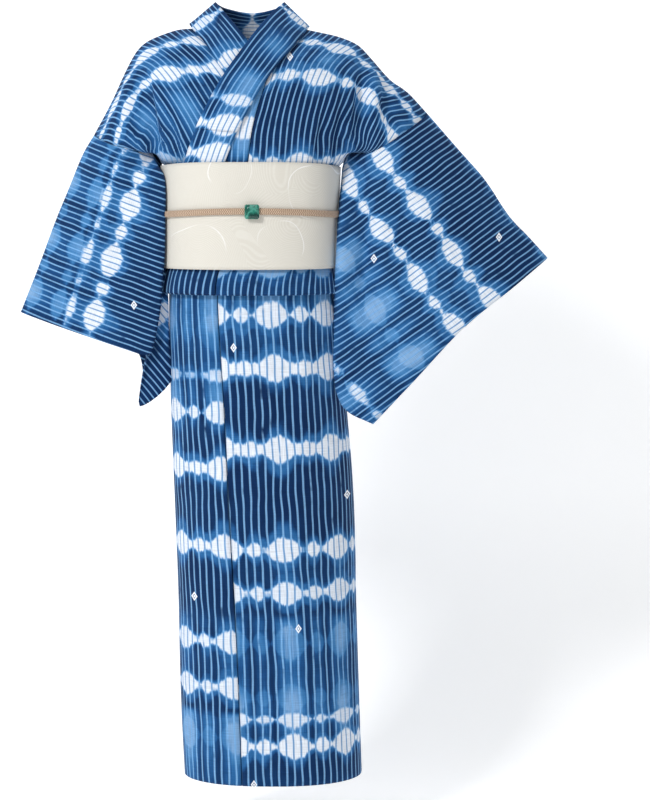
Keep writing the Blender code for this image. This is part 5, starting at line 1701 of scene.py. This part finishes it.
@dataclass
class Studio:
    """Plain pale floor running up behind the robe, soft light and the camera."""

    scale: float = 0.00166
    picture: tuple[float, float] = (650.0, 800.0)
    zero_px: tuple[float, float] = (252.0, 32.0)
    distance: float = 4.5
    pitch: float = math.radians(5.16)
    sensor: float = 36.0
    floor_z: float = -1.33
    wall_y: float = 0.75
    near_y: float = -6.0
    curve_radius: float = 0.5
    half_width: float = 8.0
    wall_height: float = 4.0
    # Shares of the sheet's length at which the floor and the curve end
    floor_end: float = 0.5
    curve_end: float = 0.85
    aim: tuple[float, float, float] = (0.05, 0.0, -0.55)
    lamps: tuple[Light, ...] = (
        Light("key", (-2.2, -3.2, 1.9), 1.0, 118.0), Light("fill", (2.6, -3.4, 0.3), 2.6, 9.0),
        Light("top", (0.2, -0.6, 2.6), 2.4, 12.0),
    )

    def camera(self) -> None:
        """Place the camera at the picture's angle and framing."""
        wide, tall = self.picture
        x = (wide / 2 - self.zero_px[0]) * self.scale
        z = (self.zero_px[1] - tall / 2) * self.scale
        data = bpy.data.cameras.new("camera")
        data.sensor_width = self.sensor
        data.lens = self.sensor * self.distance / (tall * self.scale)
        made = bpy.data.objects.new("camera", data)
        made.location = (x, -self.distance * math.cos(self.pitch), z + self.distance * math.sin(self.pitch))
        made.rotation_euler = (math.pi / 2 - self.pitch, 0.0, 0.0)
        bpy.context.scene.collection.objects.link(made)
        bpy.context.scene.camera = made

    def backdrop(self) -> None:
        """Make the floor and the curved backdrop as one sheet."""
        bm = bmesh.new()
        bmesh.ops.create_grid(bm, x_segments=2, y_segments=26, size=1.0)
        bend_y = self.wall_y - self.curve_radius
        for vert in bm.verts:
            share = (vert.co.y + 1.0) / 2.0
            bend = (share - self.floor_end) / (self.curve_end - self.floor_end)
            turn = float(np.clip(bend, 0.0, 1.0)) * math.pi / 2
            if share < self.floor_end:
                y, z = self.near_y + share / self.floor_end * (bend_y - self.near_y), self.floor_z
            else:
                rise = max(0.0, share - self.curve_end) / (1.0 - self.curve_end) * self.wall_height
                y = bend_y + math.sin(turn) * self.curve_radius
                z = self.floor_z + (1.0 - math.cos(turn)) * self.curve_radius + rise
            vert.co = Vector((vert.co.x * self.half_width, y, z))
        for face in bm.faces:
            face.smooth = True
        made = put_in_scene(bm, "backdrop")
        art = Finish("pale_paper")
        # Seen from behind, the paper is clear, so that the back of the robe shows too
        behind = art.term("NewGeometry", output="Backfacing")
        both = art.term("MixShader", {0: behind, 1: art.shader.outputs[0], 2: art.term("BsdfTransparent")})
        art.tree.links.new(both.socket, art.tree.nodes["Material Output"].inputs["Surface"])
        made.data.materials.append(art.done({"Base Color": colour("#F7F7F7"), "Roughness": 0.9,
                                             "Emission Color": (1.0, 1.0, 1.0, 1.0), "Emission Strength": 0.26}))

    def lights(self) -> None:
        """Large soft key from the upper left, a fill and a pale sky; plain colours, with no film curve."""
        world = bpy.data.worlds.new("sky")
        world.use_nodes = True
        sky = world.node_tree.nodes["Background"]
        sky.inputs["Color"].default_value = (0.96, 0.98, 1.0, 1.0)
        sky.inputs["Strength"].default_value = 0.40
        bpy.context.scene.world = world
        bpy.context.scene.view_settings.view_transform = "Standard"
        for lamp in self.lamps:
            data = bpy.data.lights.new(lamp.name, "AREA")
            data.size, data.energy = lamp.size, lamp.power
            made = bpy.data.objects.new(lamp.name, data)
            made.location = lamp.place
            made.rotation_euler = (Vector(self.aim) - Vector(lamp.place)).to_track_quat("-Z", "Y").to_euler()
            bpy.context.scene.collection.objects.link(made)


@dataclass
class Yukata:
    """The whole robe: builds each piece on the ones under it, from the inside out."""

    cotton: bpy.types.Material
    sash: bpy.types.Material
    braid: bpy.types.Material
    glass: bpy.types.Material
    sheets: dict[str, FineSheet] = field(default_factory=dict)

    def cloth(self, node: str, sheet: FineSheet, thickness: float, plan: Optional[DyePlan],
              flat: tuple[float, float], held: str, rests_on: Sequence[str] = (),
              spread: Optional[tuple[np.ndarray, np.ndarray]] = None) -> None:
        """Make one piece of cloth, give it its finish and keep its fine sheet.

        Args:
            node: the node that it stands for.
            sheet: its fine inner face.
            thickness: thickness of its solid.
            plan: its dye.
            flat: the size that it was cut to; not used.
            held: how it is held; not used.
            rests_on: what it lies on; not used.
            spread: its flat coordinates, across and along the warp.
        """
        across, along = spread or sheet.flat_panel()
        made = ClothSheet(node + "_cloth", sheet.outer(thickness), sheet.out, across, along, plan,
                          sheet.loop_rows).build()
        material = self.cotton if plan else self.sash
        dress(made, node, material)
        self.sheets[node] = sheet

    def body(self) -> None:
        """Body panels, overlap panels and the collar, from the inside out."""
        right_panel, left_panel, collar = BodyPanel(Side.RIGHT), BodyPanel(Side.LEFT), Collar()
        right = fine_sheet(right_panel.coarse(), STEP, -1.0, creases=CREASES)
        right_tree = right.tree(CLOTH)
        self.cloth("body_right", right, CLOTH, right_panel.plan(right), right_panel.flat, "draped")
        under_panel = Okumi(Side.RIGHT)
        under = fine_sheet(under_panel.under(), STEP, 1.0, creases=CREASES)
        lap_tree = under.tree(CLOTH)
        self.cloth("okumi_right", under, CLOTH, under_panel.plan(under), (0.15, 0.95), "draped", ["body_right_cloth"])

        ribbon = collar.coarse()
        ribbon[COLLAR_TURN:] = collar.settle(ribbon[COLLAR_TURN:], [right_tree])
        half = fine_sheet(ribbon[COLLAR_TURN:], 0.008, -1.0)
        stack = COLLAR_CLOTH + 1.9 * LAYER_GAP + OVER_COLLAR_CLOTH
        under_tree = half.tree(stack)

        coarse = left_panel.coarse()
        rows = (PATH_ROWS - 1, PATH_ROWS - 1 + 3 * SPAN_ROWS)
        coarse = push_out(coarse, [under_tree, right_tree], 1.6 * LAYER_GAP, rows)
        left = fine_sheet(coarse, STEP, 1.0, creases=CREASES)
        left.clear([under_tree, right_tree, lap_tree], 0.9 * LAYER_GAP, (0, left.row_at(rows[1])))
        self.cloth("body_left", left, CLOTH, left_panel.plan(left), left_panel.flat, "draped", ["body_right_cloth"])
        over_panel = Okumi(Side.LEFT)
        over_coarse = push_out(over_panel.over(coarse), [under_tree, right_tree], 1.6 * LAYER_GAP, (rows[0], 999))
        over = fine_sheet(over_coarse, STEP, 1.0)
        over.clear([under_tree, right_tree, lap_tree], 0.9 * LAYER_GAP)
        self.cloth("okumi_left", over, CLOTH, over_panel.plan(over), over_panel.flat, "draped",
                   ["body_right_cloth"], over.flat_panel(True))

        trees = [left.tree(CLOTH), over.tree(CLOTH), right_tree, under_tree]
        ribbon[:COLLAR_TURN - 2] = collar.settle(ribbon[:COLLAR_TURN - 2], trees)
        band = fine_sheet(ribbon, 0.006, -1.0)
        self.cloth("eri", band, COLLAR_CLOTH, collar.plan(band), collar.flat, "draped",
                   ["body_left_cloth", "body_right_cloth"], band.flat_ribbon())
        first, last = (int(round(end * COLLAR_SPAN)) for end in OVER_COLLAR_ENDS)
        start, end = (int(np.searchsorted(band.columns, place)) for place in (first, last))
        lift = COLLAR_CLOTH + LAYER_GAP
        cut = slice(start, end + 1)
        part = FineSheet(band.grid[cut] + band.out[cut] * lift, band.out[cut], band.across[cut], band.along,
                         band.columns[cut], band.rows)
        self.cloth("kake_eri", part, OVER_COLLAR_CLOTH, collar.plan(band), collar.over_flat, "draped", ["eri_cloth"],
                   part.flat_ribbon())

    def sleeves(self) -> None:
        """Both sleeves, each on its armhole."""
        for side in Side:
            sleeve = Sleeve(side, (0.33, 0.92) if side is Side.LEFT else (0.33, 0.64))
            name = side.name.lower()
            sheet = sleeve.sheet(self.sheets["body_" + name])
            self.cloth("sleeve_" + name, sheet, CLOTH, sleeve.plan(), sleeve.flat, "hung", (), sleeve.spread(sheet))

    def belt(self) -> None:
        """Obi, its folded end, the cord and the clasp."""
        obi = Obi()
        left, collar = self.sheets["body_left"], self.sheets["eri"]
        low, high = left.row_at(PATH_ROWS - 3), left.row_at(PATH_ROWS + 2)
        trees = [sheet_tree(left.outer(CLOTH)[:, low:high], left.out[:, low:high]),
                 sheet_tree(collar.outer(COLLAR_CLOTH)[:60], collar.out[:60])]
        band = push_out(obi.band(), trees, LAYER_GAP)
        fine = fine_sheet(band, 0.007, -1.0, True)
        fine.clear(trees, 0.8 * LAYER_GAP)
        self.cloth("obi_band", fine, OBI_CLOTH, None, obi.flat, "folded", ["body_left_cloth"])
        tail = obi.tail()
        self.cloth("obi_tail", fine_sheet(tail, 0.007, 1.0, True), OBI_CLOTH * 0.8, None, obi.tail_flat, "folded",
                   ["obi_band_cloth"])
        dress(Obijime().build("obijime_cord", tail), "obijime", self.braid)
        dress(Obidome().build("obidome_glass"), "obidome", self.glass)


def main() -> None:
    """Build the studio and the robe."""
    studio = Studio()
    studio.camera()
    studio.backdrop()
    studio.lights()
    robe = Yukata(DyedCotton().make(), RippledSash().make(), CordBraid().make(), CutGlass().make())
    robe.body()
    robe.sleeves()
    robe.belt()


if __name__ == "__main__":
    main()
